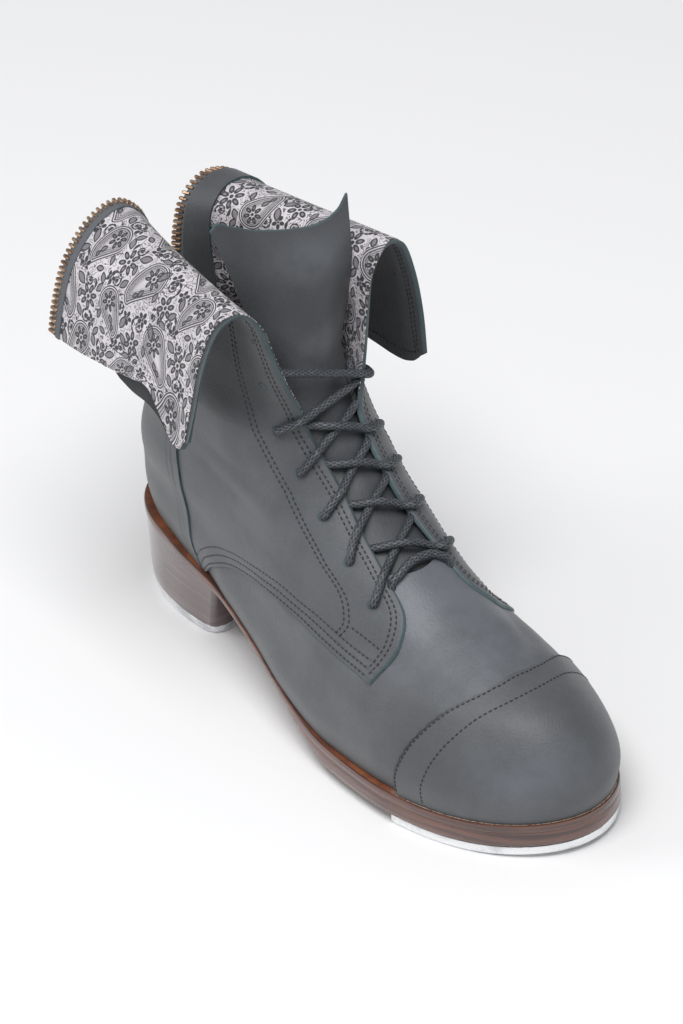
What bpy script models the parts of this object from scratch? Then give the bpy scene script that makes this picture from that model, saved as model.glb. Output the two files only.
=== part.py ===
"""Laced ankle tap boot for the right foot, with its back zip open and both shaft halves folded down.

All tables are in millimetres. x runs from the back of the heel to the toe, y towards the inner
(medial) side and z up from the floor. The finished objects are in metres, with the origin at the
centre of the heel tap's bottom face.
"""
import math

import bmesh
import bpy
import numpy as np

MM = 0.001
LATERAL = -1.0
MEDIAL = 1.0

# Driving sizes
SOLE_LENGTH = 275.0
HEEL_CENTRE = 33.0          # from the heel's back to the origin
CLEARANCE = 0.3             # between pieces that touch
FACET_ALLOWANCE = 0.2       # more, where curved leather lies on curved leather
TAP_THICKNESS = 4.0
HALF_SOLE_THICKNESS = 6.7
OUTSOLE_THICKNESS = 3.5
HEEL_RIM_HEIGHT = 38.0      # top of the sole's edge at the heel
TOE_SPRING = 2.6
INSOLE_THICKNESS = 3.0
FEATHER_INSET = 4.3         # from the sole's edge in to the upper at the toe
VAMP_WALL = 2.0
SHAFT_WALL = 1.0            # below the quarter's own leather
QUARTER_STEP = 1.2          # how far the quarters stand over the vamp
CAP_THICKNESS = 1.3
BACKSTAY_THICKNESS = 1.1
TONGUE_THICKNESS = 1.8
LACE_DIAMETER = 3.0
ZIP_WIDTH = 5.0
ZIP_THICKNESS = 1.4
GUARD_WIDTH = 12.0
GUARD_THICKNESS = 1.0

# Places along the boot
BREAST_TOP = 70.0
BREAST_BOTTOM = 64.5
HALF_SOLE_BACK = 141.0
HALF_SOLE_FULL = 170.0      # full thickness from here forward
HALF_SOLE_SKIVED = 1.1      # thickness of its thinned back edge
TOE_TAP_BACK = 210.0
BALL_BACK = 172.0           # the sole is level from here to BALL_FRONT
BALL_FRONT = 226.0
SEAT_FRONT = 60.0           # the heel seat is level up to here

# Heel block and heel tap: inset from the sole's edge at parts of their height
HEEL_BLOCK = ((0.0, 2.4), (0.3, 1.7), (0.65, 0.9), (1.0, 0.3))
HEEL_TAP = ((0.0, 2.8), (0.2, 2.0), (1.0, 2.0))

# Levels of the upper with a meaning of their own
WING_LEVEL = 2.7            # where the quarter's front edge ends in its wing tip
THROAT_LEVEL = 7.0
COLLAR_LEVEL = 11.0
ZIP_LEVEL = 7.4
TOP_LEVEL = 20.0


def table(names, rows):
    """Columns of a table by name."""
    values = np.array(rows, float)
    return {name: values[:, i] for i, name in enumerate(names.split())}


# Sole outline: half-width before the ends are rounded, and how far its middle swings inwards
OUTLINE = table("at half swing", [
    (0.0, 27.4, 2.6),
    (0.1, 27.4, 2.3),
    (0.2, 30.2, 0.2),
    (0.3, 30.8, -3.7),
    (0.4, 31.8, -7.1),
    (0.5, 36.3, -8.0),
    (0.6, 42.2, -6.0),
    (0.7, 45.6, -3.2),
    (0.8, 45.8, -1.0),
    (0.9, 45.5, 1.1),
    (1.0, 46.0, 4.2),
])
TOE_ROUND = 75.0
HEEL_ROUND = 32.0
WAIST_HALF = 36.3

# Level loops of the upper, from the feather line to the collar. Each runs from a point on the heel's
# back line to one on the ridge, with an oval nose and heel, and follows the sole's shape in part.
# edge_x is the front edge of the quarter, which becomes the throat above THROAT_LEVEL.
LEVELS = table("front_x front_z nose back_x back_z heel side follow edge_x zip_gap", [
    (270.8, 17.6, 73, 3.4, 38.3, 32, 33.0, 1.00, 177.0, 0.0),
    (273.2, 29.5, 76, 1.8, 50.0, 33, 34.8, 1.00, 180.0, 0.0),
    (268.5, 42.5, 82, 2.0, 61.0, 34, 34.2, 0.88, 184.0, 0.0),
    (257.0, 53.5, 110, 2.8, 68.5, 36, 33.5, 0.68, 188.0, 0.0),
    (237.0, 60.0, 128, 3.8, 74.5, 38, 33.0, 0.46, 190.0, 0.0),
    (216.0, 66.5, 104, 5.0, 80.5, 41, 32.6, 0.30, 190.0, 0.0),
    (196.5, 74.5, 84, 6.8, 87.0, 47, 32.0, 0.16, 184.5, 0.0),
    (177.5, 84.5, 68, 8.8, 94.0, 53, 31.5, 0.06, 170.5, 0.0),
    (160.0, 94.5, 60, 10.6, 101.0, 58, 31.2, 0.02, 155.0, 2.4),
    (146.5, 104.5, 55, 11.8, 108.5, 61, 31.0, 0.0, 142.5, 3.4),
    (135.5, 114.5, 50, 12.6, 116.5, 62, 30.7, 0.0, 131.5, 4.2),
    (127.5, 125.5, 46, 13.2, 126.0, 62, 30.4, 0.0, 122.8, 5.0),
])

# Folds of the two shaft halves: up inside, over the crest and down outside. A row is one line from
# the zip edge (back) to the front edge, with its distance out from the middle and its outward bow.
FOLD_COLUMNS = "front_x front_out front_z back_x back_out back_z bow"
FOLDS = {
    LATERAL: table(FOLD_COLUMNS, [
        (120.5, 16.0, 138.0, 13.6, 6.0, 138.0, 15.0),
        (117.5, 20.5, 153.0, 14.1, 7.5, 152.0, 10.0),
        (115.5, 24.0, 168.0, 14.6, 9.0, 166.0, 5.5),
        (114.0, 27.0, 180.0, 15.0, 12.5, 178.0, 2.5),
        (112.0, 33.5, 188.0, 15.0, 22.0, 186.0, 0.5),
        (110.5, 43.5, 185.0, 15.0, 35.0, 182.5, 0.0),
        (109.5, 51.5, 171.0, 15.0, 47.0, 170.0, 0.0),
        (108.5, 56.5, 152.5, 15.0, 53.5, 154.0, 0.0),
        (107.5, 60.0, 134.0, 15.0, 57.0, 139.0, 0.0),
    ]),
    MEDIAL: table(FOLD_COLUMNS, [
        (120.0, 17.0, 138.0, 13.6, 6.0, 138.0, 15.0),
        (116.0, 22.5, 153.0, 14.1, 7.5, 151.0, 10.0),
        (113.5, 26.5, 168.0, 14.6, 9.0, 163.0, 5.5),
        (112.0, 30.5, 180.0, 15.0, 12.5, 173.5, 2.5),
        (111.0, 38.5, 188.0, 15.0, 22.0, 180.0, 0.5),
        (110.5, 46.5, 185.0, 15.0, 34.0, 177.0, 0.0),
        (110.0, 51.5, 169.0, 15.0, 43.5, 164.0, 0.0),
        (110.0, 54.0, 150.0, 15.0, 48.5, 149.0, 0.0),
        (110.0, 55.0, 131.0, 15.0, 51.0, 134.0, 0.0),
    ]),
}
BOW_POWER = 0.8             # below 1 the bow is fuller than a sine
# The shaft's top edge, now the lowest edge of the fold: how far each half's edge is raised along it
TOP_EDGE = table("along lateral medial", [
    (0.0, 0.0, 0.0),
    (0.2, 2.5, 1.0),
    (0.4, 6.5, 1.0),
    (0.6, 11.5, -2.0),
    (0.72, 13.5, -6.0),
    (0.8, 6.0, -7.0),
    (0.88, -3.5, -5.0),
    (0.95, -3.0, -2.0),
    (1.0, 3.0, 3.0),
])
SIDE_NAMES = {LATERAL: "lateral", MEDIAL: "medial"}

# Panel edges on the upper
QUARTER_EDGE = table("x level", [
    (0.0, 0.3), (64.0, 0.3), (74.0, 0.7), (85.0, 1.45), (97.0, 2.3), (109.0, 2.95), (128.0, 3.33),
    (146.0, 3.45), (163.0, 3.4), (189.0, 2.85), (230.0, 2.4), (275.0, 2.0),
])
CAP_EDGE = table("level x", [
    (0.0, 211.5), (1.0, 213.0), (2.0, 217.5), (3.0, 224.0), (4.0, 231.5), (4.25, 232.0),
])
BACKSTAY_EDGE = table("level x", [
    (0.0, 61.0), (1.0, 57.0), (3.0, 55.5), (6.0, 53.0), (8.0, 47.0), (10.0, 39.0), (11.0, 35.0),
])

# Tongue above the collar: middle point, half-width, turn about the vertical in degrees, how far its
# edges lie behind its middle, and how much higher they are
TONGUE_TOP = table("x y z half turn cup smile", [
    (114.5, 1.0, 142.0, 21.0, -4.0, 17.0, 0.0),
    (108.5, 2.0, 162.0, 21.5, -10.0, 10.0, 0.0),
    (101.0, 3.0, 182.0, 24.5, -16.0, 5.0, 1.5),
    (91.5, 4.0, 202.0, 29.5, -20.0, 0.0, 5.0),
])
TONGUE_LEVELS = (6.5, 7.2, 8.0, 9.0, 10.0, 11.0)    # rows under the vamp and the lacing
TONGUE_REACH = 22.0                                 # half-width there

# Lace: levels of the holes up the quarter's front edge, and their distance from that edge
HOLE_LEVELS = (6.1, 7.2, 8.45, 9.8, 11.2, 13.3)
HOLE_INSET = 10.8
LACE_SIDES = 6
LACE_SINK = 0.5             # how far crossing laces press into each other
LACE_BAR_LEVEL = 6.5
LACE_ARCH_LOW = 6.0         # rise over the instep
LACE_ARCH_HIGH = 1.5        # rise over the flatter tongue above it
# How far a lace has climbed towards the next hole's level at its own edge and at the far edge
NEAR_EDGE_CLIMB = 0.55
FAR_EDGE_CLIMB = 1.25


def smooth_rows(values, at):
    """Catmull-Rom curve through the rows of values, read at row numbers that may be fractional."""
    values = np.asarray(values, float)
    at = np.asarray(at, float)
    last = len(values) - 1
    row = np.clip(np.floor(at).astype(int), 0, last - 1)
    part = at - row
    before = values[np.clip(row - 1, 0, last)]
    start = values[row]
    end = values[row + 1]
    after = values[np.clip(row + 2, 0, last)]
    if values.ndim > 1:
        part = part[..., None]
    bend = 2 * before - 5 * start + 4 * end - after
    twist = 3 * start - before - 3 * end + after
    return start + 0.5 * part * (end - before + part * (bend + part * twist))


def ease(x, low, high):
    """Smooth step from 0 at low to 1 at high."""
    t = np.clip((np.asarray(x, float) - low) / (high - low), 0.0, 1.0)
    return t * t * (3.0 - 2.0 * t)


def sole_top(x):
    """Height of the sole's upper rim: level heel seat, waist, level ball and toe spring."""
    ball = TAP_THICKNESS + HALF_SOLE_THICKNESS + OUTSOLE_THICKNESS + 2 * CLEARANCE
    rise = (HEEL_RIM_HEIGHT - ball) * (1.0 - ease(x, SEAT_FRONT, BALL_BACK))
    spring = np.clip((np.asarray(x, float) - BALL_FRONT) / (SOLE_LENGTH - BALL_FRONT), 0.0, None)
    return ball + rise + TOE_SPRING * spring ** 2


def oval_end(distance, length):
    """Part of the full width at a distance from the tip of an oval end."""
    q = np.clip(distance / length, 0.0, 1.0)
    return np.sqrt(np.clip(1.0 - (1.0 - q) ** 2, 0.0, None))


def outline_columns(x):
    """The sole's half-width and swing at x, before the ends are rounded."""
    rows = np.clip(np.asarray(x, float) / SOLE_LENGTH, 0.0, 1.0) * (len(OUTLINE["at"]) - 1)
    return smooth_rows(OUTLINE["half"], rows), smooth_rows(OUTLINE["swing"], rows)


def sole_edge(x, side, inset=0.0):
    """y of the sole's outline at x, moved in by inset."""
    half, swing = outline_columns(x)
    ends = oval_end(SOLE_LENGTH - inset - x, TOE_ROUND) * oval_end(x - inset, HEEL_ROUND)
    return swing + side * (half - inset) * ends


def stations(start, end, count):
    """x stations that crowd towards the rounded ends of the sole."""
    turn = np.arccos(1.0 - 2.0 * np.array([start, end]) / SOLE_LENGTH)
    return SOLE_LENGTH * (1.0 - np.cos(np.linspace(turn[0], turn[1], count))) / 2.0


def level_row(v):
    """All columns of the level table at a fractional level."""
    return {name: smooth_rows(column, v) for name, column in LEVELS.items()}


def foot_point(x, v, side):
    """Outer face of the vamp leather at x on level v: an oval loop between heel line and ridge."""
    row = level_row(v)
    half, swing = outline_columns(x)
    follow = np.clip(row["follow"], 0.0, 1.0)
    width = row["side"] + follow * (half - WAIST_HALF)
    width = width * oval_end(row["front_x"] - x, row["nose"]) * oval_end(x - row["back_x"], row["heel"])
    t = (x - row["back_x"]) / (row["front_x"] - row["back_x"])
    line = row["back_z"] + (row["front_z"] - row["back_z"]) * t
    back_top = sole_top(row["back_x"])
    chord = back_top + (sole_top(row["front_x"]) - back_top) * t
    z = line + follow * (sole_top(x) - chord)
    return np.stack([x, swing * np.sqrt(follow) + side * width, z], axis=-1)


def loop_angle(x, row):
    """Angle round a level loop, 0 at the heel and pi at the ridge."""
    t = (x - row["back_x"]) / (row["front_x"] - row["back_x"])
    return np.arccos(np.clip(1.0 - 2.0 * t, -1.0, 1.0))


def zip_angle(row):
    """Angle at the zip's edge, which is the heel line itself below the zip."""
    gap = np.clip(row["zip_gap"], 0.0, None) / row["side"]
    return loop_angle(row["back_x"] + row["heel"] * (1.0 - np.sqrt(1.0 - gap ** 2)), row)


def foot_x(a, v):
    """x on level v for a from 0 (zip or heel line) to 1 (quarter's front edge) to 2 (ridge)."""
    row = level_row(v)
    start = zip_angle(row)
    edge = loop_angle(row["edge_x"], row)
    angle = np.where(a <= 1.0, start + (edge - start) * a, edge + (math.pi - edge) * (a - 1.0))
    return row["back_x"] + (row["front_x"] - row["back_x"]) * (1.0 - np.cos(angle)) / 2.0


def fold_line(a, fold, index, side):
    """One fold line of a shaft half from the zip edge (a = 0) to the front edge (a = 1)."""
    value = {name: column[index] for name, column in fold.items()}
    x = value["back_x"] + (value["front_x"] - value["back_x"]) * a
    out = value["back_out"] + (value["front_out"] - value["back_out"]) * a
    out = out + value["bow"] * np.sin(math.pi * a) ** BOW_POWER
    z = value["back_z"] + (value["front_z"] - value["back_z"]) * a
    if index == len(fold["bow"]) - 1:
        z = z + np.interp(a, TOP_EDGE["along"], TOP_EDGE[SIDE_NAMES[side]])
    return np.stack([x, side * out, z], axis=-1)


def shaft_point(a, v, side):
    """Shaft half above the collar: a smooth loft through the last two levels and the folds."""
    fold = FOLDS[side]
    first = COLLAR_LEVEL - 1.0
    lines = [foot_point(foot_x(a, np.full_like(a, level)), np.full_like(a, level), side)
             for level in (first, COLLAR_LEVEL)]
    lines += [fold_line(np.clip(a, 0.0, 1.0), fold, i, side) for i in range(len(fold["bow"]))]
    weights = smooth_rows(np.eye(len(lines)), v - first)
    return sum(weights[..., k, None] * line for k, line in enumerate(lines))


def upper_point(a, v, side):
    """The upper's own surface, foot and folded shaft."""
    low = np.minimum(v, COLLAR_LEVEL)
    foot = foot_point(foot_x(a, low), low, side)
    shaft = shaft_point(np.minimum(a, 1.0), np.maximum(v, COLLAR_LEVEL), side)
    return np.where((v <= COLLAR_LEVEL)[..., None], foot, shaft)


def upper_normal(a, v, side):
    """Unit normal of the upper's surface, out of the boot before folding."""
    da = 0.004
    dv = 0.01
    a_low = np.clip(a - da, 0.0, None)
    a_high = np.where(v > THROAT_LEVEL, np.clip(a + da, None, 1.0), np.clip(a + da, None, 2.0))
    v_low = np.clip(v - dv, 0.0, None)
    v_high = np.clip(v + dv, None, TOP_LEVEL)
    along = upper_point(a_high, v, side) - upper_point(a_low, v, side)
    up = upper_point(a, v_high, side) - upper_point(a, v_low, side)
    normal = np.cross(up, along) * side
    return normal / np.linalg.norm(normal, axis=-1, keepdims=True)


def on_upper(a, v, side, lift):
    """Points lifted off the upper's surface along its normal."""
    return upper_point(a, v, side) + upper_normal(a, v, side) * np.asarray(lift)[..., None]


def grid_faces(keep, offset=0, flip=False):
    """Quads of a grid of points, where keep marks the cells that exist."""
    rows, cols = keep.shape
    index = np.arange((rows + 1) * (cols + 1)).reshape(rows + 1, cols + 1) + offset
    quads = np.stack([index[:-1, :-1], index[:-1, 1:], index[1:, 1:], index[1:, :-1]], axis=-1)[keep]
    return quads[:, ::-1] if flip else quads


def weld(points, faces):
    """Joins points that coincide, and drops faces that collapse."""
    keys = np.round(np.asarray(points) * 1000.0).astype(np.int64)
    _, first, inverse = np.unique(keys, axis=0, return_index=True, return_inverse=True)
    inverse = inverse.reshape(-1)
    cleaned = []
    for face in faces:
        corners = list(dict.fromkeys(int(inverse[i]) for i in face))
        if len(corners) > 2:
            cleaned.append(corners)
    return first, cleaned


def closed_sheet(outer, inner, faces):
    """Closed solid from two matching sheets of points, with a rim along every open edge."""
    first, faces = weld(outer, faces)
    outer = np.asarray(outer)[first]
    inner = np.asarray(inner)[first]
    count = len(outer)
    edges = {(f[i], f[(i + 1) % len(f)]) for f in faces for i in range(len(f))}
    rim = [(b, a, a + count, b + count) for a, b in edges if (b, a) not in edges]
    back = [[i + count for i in reversed(f)] for f in faces]
    return np.vstack([outer, inner]), faces + back + sorted(rim)


def above_sole(points):
    """Keeps leather that turns in at the feather line clear of the sole's rim."""
    points = np.array(points)
    points[:, 2] = np.maximum(points[:, 2], sole_top(points[:, 0]) + CLEARANCE)
    return points


def stacked_loops(loops):
    """Closed solid from a stack of matching loops, capped at both ends."""
    count = len(loops[0])
    points = np.vstack(loops)
    faces = []
    for k in range(len(loops) - 1):
        for i in range(count):
            j = (i + 1) % count
            faces.append((k * count + i, k * count + j, (k + 1) * count + j, (k + 1) * count + i))
    top = (len(loops) - 1) * count
    faces.append(tuple(range(count - 1, -1, -1)))
    faces.append(tuple(range(top, top + count)))
    return points, faces


def paint(name, colour, roughness, metallic=0.0):
    """Plain material of one colour."""
    material = bpy.data.materials.new(name)
    material.use_nodes = True
    shader = material.node_tree.nodes["Principled BSDF"]
    shader.inputs["Base Color"].default_value = (*colour, 1.0)
    shader.inputs["Roughness"].default_value = roughness
    shader.inputs["Metallic"].default_value = metallic
    return material


def add_piece(name, shape, material):
    """Object from points in millimetres and faces, with its normals pointing out."""
    points, faces = shape
    placed = (np.asarray(points, float) - (HEEL_CENTRE, 0.0, 0.0)) * MM
    mesh = bpy.data.meshes.new(name)
    mesh.from_pydata(placed.tolist(), [], [list(map(int, f)) for f in faces])
    sheet = bmesh.new()
    sheet.from_mesh(mesh)
    bmesh.ops.recalc_face_normals(sheet, faces=sheet.faces)
    sheet.to_mesh(mesh)
    sheet.free()
    mesh.shade_smooth()
    mesh.set_sharp_from_angle(angle=math.radians(40.0))
    mesh.materials.append(material)
    piece = bpy.data.objects.new(name, mesh)
    bpy.context.collection.objects.link(piece)
    return piece


def sole_plate(start, end, count, inset, top, bottom):
    """Plate with the sole's outline between two x stations."""
    x = stations(start, end, count)
    across = np.array([-1.0, 0.0, 1.0])
    low = sole_edge(x, LATERAL, inset)
    high = sole_edge(x, MEDIAL, inset)
    y = (low + high)[:, None] / 2 + (high - low)[:, None] / 2 * across
    xs = np.repeat(x[:, None], len(across), axis=1)
    upper = np.stack([xs, y, top(xs)], axis=-1).reshape(-1, 3)
    lower = np.stack([xs, y, bottom(xs)], axis=-1).reshape(-1, 3)
    faces = grid_faces(np.ones((count - 1, len(across) - 1), bool))
    return closed_sheet(upper, lower, faces)


def outsole():
    """Full-length sole layer; its rim shows all round as the welt."""
    return sole_plate(0.0, SOLE_LENGTH, 33, 0.0, sole_top, lambda x: sole_top(x) - OUTSOLE_THICKNESS)


def half_sole_thickness(x):
    """The half sole is skived to a thin edge at the waist."""
    full = ease(x, HALF_SOLE_BACK, HALF_SOLE_FULL)
    return HALF_SOLE_SKIVED + (HALF_SOLE_THICKNESS - HALF_SOLE_SKIVED) * full


def half_sole():
    """Second sole layer under the forepart."""
    def top(x):
        return sole_top(x) - OUTSOLE_THICKNESS - CLEARANCE
    return sole_plate(HALF_SOLE_BACK, SOLE_LENGTH - 0.2, 22, 0.2, top,
                      lambda x: top(x) - half_sole_thickness(x))


def toe_tap():
    """Metal plate under the toe, flat on the floor behind its upturned tip."""
    def top(x):
        return sole_top(x) - OUTSOLE_THICKNESS - HALF_SOLE_THICKNESS - 2 * CLEARANCE
    return sole_plate(TOE_TAP_BACK, SOLE_LENGTH - 0.6, 18, 0.6, top, lambda x: top(x) - TAP_THICKNESS)


def heel_loop(inset, breast, z, count=15):
    """Outline of the heel at one height: round the back from breast to breast."""
    turn = np.linspace(0.0, math.pi / 2, count)
    x = inset + (breast - inset) * (1.0 - np.cos(turn))
    height = np.zeros(count) + z(x)
    lateral = np.stack([x, sole_edge(x, LATERAL, inset), height], axis=-1)
    medial = np.stack([x, sole_edge(x, MEDIAL, inset), height], axis=-1)
    return np.vstack([lateral[::-1], medial[1:]])


def heel():
    """Stacked heel block, drawn in towards the floor with a slight hollow."""
    def top(x):
        return sole_top(x) - OUTSOLE_THICKNESS - 2 * CLEARANCE
    bottom = TAP_THICKNESS + CLEARANCE
    loops = []
    for up, inset in HEEL_BLOCK:
        breast = BREAST_BOTTOM + (BREAST_TOP - BREAST_BOTTOM) * up
        loops.append(heel_loop(inset, breast, lambda x: bottom + (top(x) - bottom) * up))
    return stacked_loops(loops)


def heel_tap():
    """Metal plate under the heel with a rounded lower edge."""
    front = BREAST_BOTTOM + HEEL_TAP[-1][1]
    loops = [heel_loop(inset, front - inset, lambda x: up * TAP_THICKNESS) for up, inset in HEEL_TAP]
    return stacked_loops(loops)


def insole():
    """Sock bed inside the upper's wall."""
    inset = FEATHER_INSET + VAMP_WALL + 2 * CLEARANCE
    return sole_plate(inset, SOLE_LENGTH - inset, 25, inset,
                      lambda x: sole_top(x) + CLEARANCE + INSOLE_THICKNESS,
                      lambda x: sole_top(x) + CLEARANCE)


def quarter_level(a):
    """Level of the quarter's lower edge for each column."""
    x = foot_x(a, np.full_like(a, WING_LEVEL))
    return np.interp(x, QUARTER_EDGE["x"], QUARTER_EDGE["level"])


def upper_rows(a):
    """Levels of the upper's rows for each column, the row where the quarter starts, the throat row."""
    start = quarter_level(a)[None, :]
    below = np.array([0.0, 0.3, 0.62, 0.985])[:, None] * start
    foot = start + (THROAT_LEVEL - start) * np.array([0.0, 0.2, 0.4, 0.6, 0.8, 1.0])[:, None]
    throat = np.linspace(THROAT_LEVEL, COLLAR_LEVEL, 6)[1:]
    fold = np.linspace(COLLAR_LEVEL, TOP_LEVEL, 14)[1:]
    high = np.repeat(np.concatenate([throat, fold])[:, None], len(a), axis=1)
    return np.vstack([below, foot, high]), len(below), len(below) + len(foot) - 1


def upper():
    """The hollow upper: vamp, stepped quarters and both folded shaft halves in one wall."""
    quarter_a = np.linspace(0.0, 1.0, 18)
    vamp_a = 1.0 + np.concatenate([[0.008], np.linspace(0.1, 1.0, 9)])
    a = np.concatenate([quarter_a, vamp_a])
    v, quarter_row, throat_row = upper_rows(a)
    rows, cols = v.shape
    aa = np.repeat(a[None, :], rows, axis=0)
    row_number = np.arange(rows)[:, None]
    is_quarter = (row_number >= quarter_row) & (aa <= 1.0)
    lift = np.where(is_quarter, QUARTER_STEP, 0.0)
    wall = VAMP_WALL + (SHAFT_WALL - VAMP_WALL) * ease(v, THROAT_LEVEL, COLLAR_LEVEL + 1.0)
    keep = np.ones((rows - 1, cols - 1), bool)
    keep[throat_row:, len(quarter_a) - 1:] = False
    exists = (row_number <= throat_row) | (aa <= 1.0)
    points = {}
    normals = {}
    for side in (LATERAL, MEDIAL):
        safe_a = np.where(exists, aa, 1.0)
        points[side] = upper_point(safe_a, v, side)
        normals[side] = upper_normal(safe_a, v, side)
    closed_back = v[:, 0] <= ZIP_LEVEL
    ridge = (normals[LATERAL][:, -1] + normals[MEDIAL][:, -1]) / 2
    spine = (normals[LATERAL][:, 0] + normals[MEDIAL][:, 0]) / 2
    outer, inner, faces = [], [], []
    for side in (LATERAL, MEDIAL):
        normal = normals[side].copy()
        normal[:throat_row + 1, -1] = ridge[:throat_row + 1]
        normal[closed_back, 0] = spine[closed_back]
        normal /= np.linalg.norm(normal, axis=-1, keepdims=True)
        start = len(outer) * rows * cols
        outer.append((points[side] + normal * lift[..., None]).reshape(-1, 3))
        inner.append((points[side] - normal * wall[..., None]).reshape(-1, 3))
        faces.append(grid_faces(keep, start, flip=side == MEDIAL))
    return closed_sheet(above_sole(np.vstack(outer)), above_sole(np.vstack(inner)), np.vstack(faces))


def loop_patch(edge_x, v, from_ridge, count=9):
    """Grid of x and levels on one side of an edge line: forward to the ridge, or back to the heel line."""
    row = level_row(v)
    edge = loop_angle(edge_x, row)
    far = np.full_like(edge, math.pi) if from_ridge else zip_angle(row)
    angle = edge[:, None] + (far - edge)[:, None] * np.linspace(0.0, 1.0, count)
    length = row["front_x"] - row["back_x"]
    x = row["back_x"][:, None] + length[:, None] * (1.0 - np.cos(angle)) / 2.0
    return x, np.repeat(v[:, None], count, axis=1)


def foot_normal(x, v, side):
    """Unit normal of the foot surface at x on level v, taken round the loop and up the levels."""
    row = level_row(v)
    angle = loop_angle(x, row)
    turn = 0.01

    def at(step_angle, step_level):
        level = np.clip(v + step_level, 0.0, COLLAR_LEVEL)
        moved = level_row(level)
        bent = np.clip(angle + step_angle, 0.0, math.pi)
        length = moved["front_x"] - moved["back_x"]
        return foot_point(moved["back_x"] + length * (1.0 - np.cos(bent)) / 2.0, level, side)

    along = at(turn, 0.0) - at(-turn, 0.0)
    up = at(0.0, turn) - at(0.0, -turn)
    normal = np.cross(up, along) * side
    return normal / np.linalg.norm(normal, axis=-1, keepdims=True)


def overlay(edge, levels, low, high, from_ridge):
    """Closed overlay on both sides of the foot, joined at the ridge or at the heel line."""
    v = np.asarray(levels, float)
    edge_x = np.interp(v, edge["level"], edge["x"])
    x, vv = loop_patch(edge_x, v, from_ridge)
    points, normals = {}, {}
    for side in (LATERAL, MEDIAL):
        points[side] = foot_point(x, vv, side)
        normals[side] = foot_normal(x, vv, side)
    middle = (normals[LATERAL][:, -1] + normals[MEDIAL][:, -1]) / 2
    joined = np.ones(len(v), bool) if from_ridge else v <= ZIP_LEVEL
    outer, inner, faces = [], [], []
    for side in (LATERAL, MEDIAL):
        normal = normals[side].copy()
        normal[joined, -1] = middle[joined]
        normal /= np.linalg.norm(normal, axis=-1, keepdims=True)
        start = len(outer) * x.size
        outer.append((points[side] + normal * high).reshape(-1, 3))
        inner.append((points[side] + normal * low).reshape(-1, 3))
        keep = np.ones((x.shape[0] - 1, x.shape[1] - 1), bool)
        faces.append(grid_faces(keep, start, flip=(side == MEDIAL) == from_ridge))
    return closed_sheet(above_sole(np.vstack(outer)), above_sole(np.vstack(inner)), np.vstack(faces))


def toe_cap():
    """Toe cap leather over the vamp."""
    top = CAP_EDGE["level"][-1]
    levels = top * (1.0 - np.linspace(1.0, 0.06, 10) ** 1.7)
    levels[0] = 0.0
    low = CLEARANCE + FACET_ALLOWANCE
    return overlay(CAP_EDGE, levels, low, low + CAP_THICKNESS, True)


def backstay():
    """Heel panel over the quarters, split above the zip's lower end."""
    low = QUARTER_STEP + CLEARANCE + FACET_ALLOWANCE
    levels = np.concatenate([np.linspace(0.0, ZIP_LEVEL, 8), np.linspace(ZIP_LEVEL, COLLAR_LEVEL, 5)[1:]])
    return overlay(BACKSTAY_EDGE, levels, low, low + BACKSTAY_THICKNESS, False)


def tongue_lines(across):
    """Rows of points across the tongue, from its root under the vamp to its top edge."""
    lines = []
    below = VAMP_WALL + CLEARANCE + FACET_ALLOWANCE
    for v in TONGUE_LEVELS:
        level = np.full_like(across, v)
        row = level_row(level)
        reach = TONGUE_REACH / row["side"]
        tip = row["front_x"] - row["nose"] * (1.0 - np.sqrt(1.0 - (np.abs(across) * reach) ** 2))
        line = np.empty((len(across), 3))
        for side in (LATERAL, MEDIAL):
            part = across * side >= 0.0
            point = foot_point(tip[part], level[part], side)
            line[part] = point - foot_normal(tip[part], level[part], side) * below
        lines.append(line)
    for i in range(len(TONGUE_TOP["x"])):
        value = {name: column[i] for name, column in TONGUE_TOP.items()}
        turn = math.radians(value["turn"])
        wide = across * value["half"]
        cup = value["cup"] * across ** 2
        x = value["x"] + wide * -math.sin(turn) - cup * math.cos(turn)
        y = value["y"] + wide * math.cos(turn) - cup * math.sin(turn)
        z = value["z"] + value["smile"] * across ** 2
        lines.append(np.stack([x, y, z], axis=-1))
    return np.array(lines)


def sheet_normals(points):
    """Unit normals of a grid of points."""
    along = np.gradient(points, axis=1)
    up = np.gradient(points, axis=0)
    normal = np.cross(along, up)
    return normal / np.linalg.norm(normal, axis=-1, keepdims=True)


def tongue():
    """Tongue behind the lacing, standing up past the folded shaft."""
    across = np.linspace(-1.0, 1.0, 9)
    lines = tongue_lines(across)
    rows = np.linspace(0.0, len(lines) - 1.0, 17)
    points = smooth_rows(lines.reshape(len(lines), -1), rows).reshape(len(rows), len(across), 3)
    inner = points - sheet_normals(points) * TONGUE_THICKNESS
    faces = grid_faces(np.ones((len(rows) - 1, len(across) - 1), bool))
    return closed_sheet(points.reshape(-1, 3), inner.reshape(-1, 3), faces)


def zip_half(side):
    """Tape and teeth of one zip half, standing off the shaft's back edge."""
    v = np.linspace(ZIP_LEVEL + 1.0, TOP_LEVEL, 26)
    edge = np.zeros_like(v)
    point = upper_point(edge, v, side)
    normal = upper_normal(edge, v, side)
    away = point - upper_point(edge + 0.01, v, side)
    away /= np.linalg.norm(away, axis=-1, keepdims=True)
    middle = (QUARTER_STEP - SHAFT_WALL) / 2
    width = np.minimum(ZIP_WIDTH, np.abs(point[:, 1]) - CLEARANCE)
    reach = np.stack([np.full_like(width, CLEARANCE), width], axis=-1)
    base = point[:, None, :] + away[:, None, :] * reach[..., None]
    outer = base + normal[:, None, :] * (middle + ZIP_THICKNESS / 2)
    inner = base + normal[:, None, :] * (middle - ZIP_THICKNESS / 2)
    faces = grid_faces(np.ones((len(v) - 1, 1), bool))
    return closed_sheet(outer.reshape(-1, 3), inner.reshape(-1, 3), faces)


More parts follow.
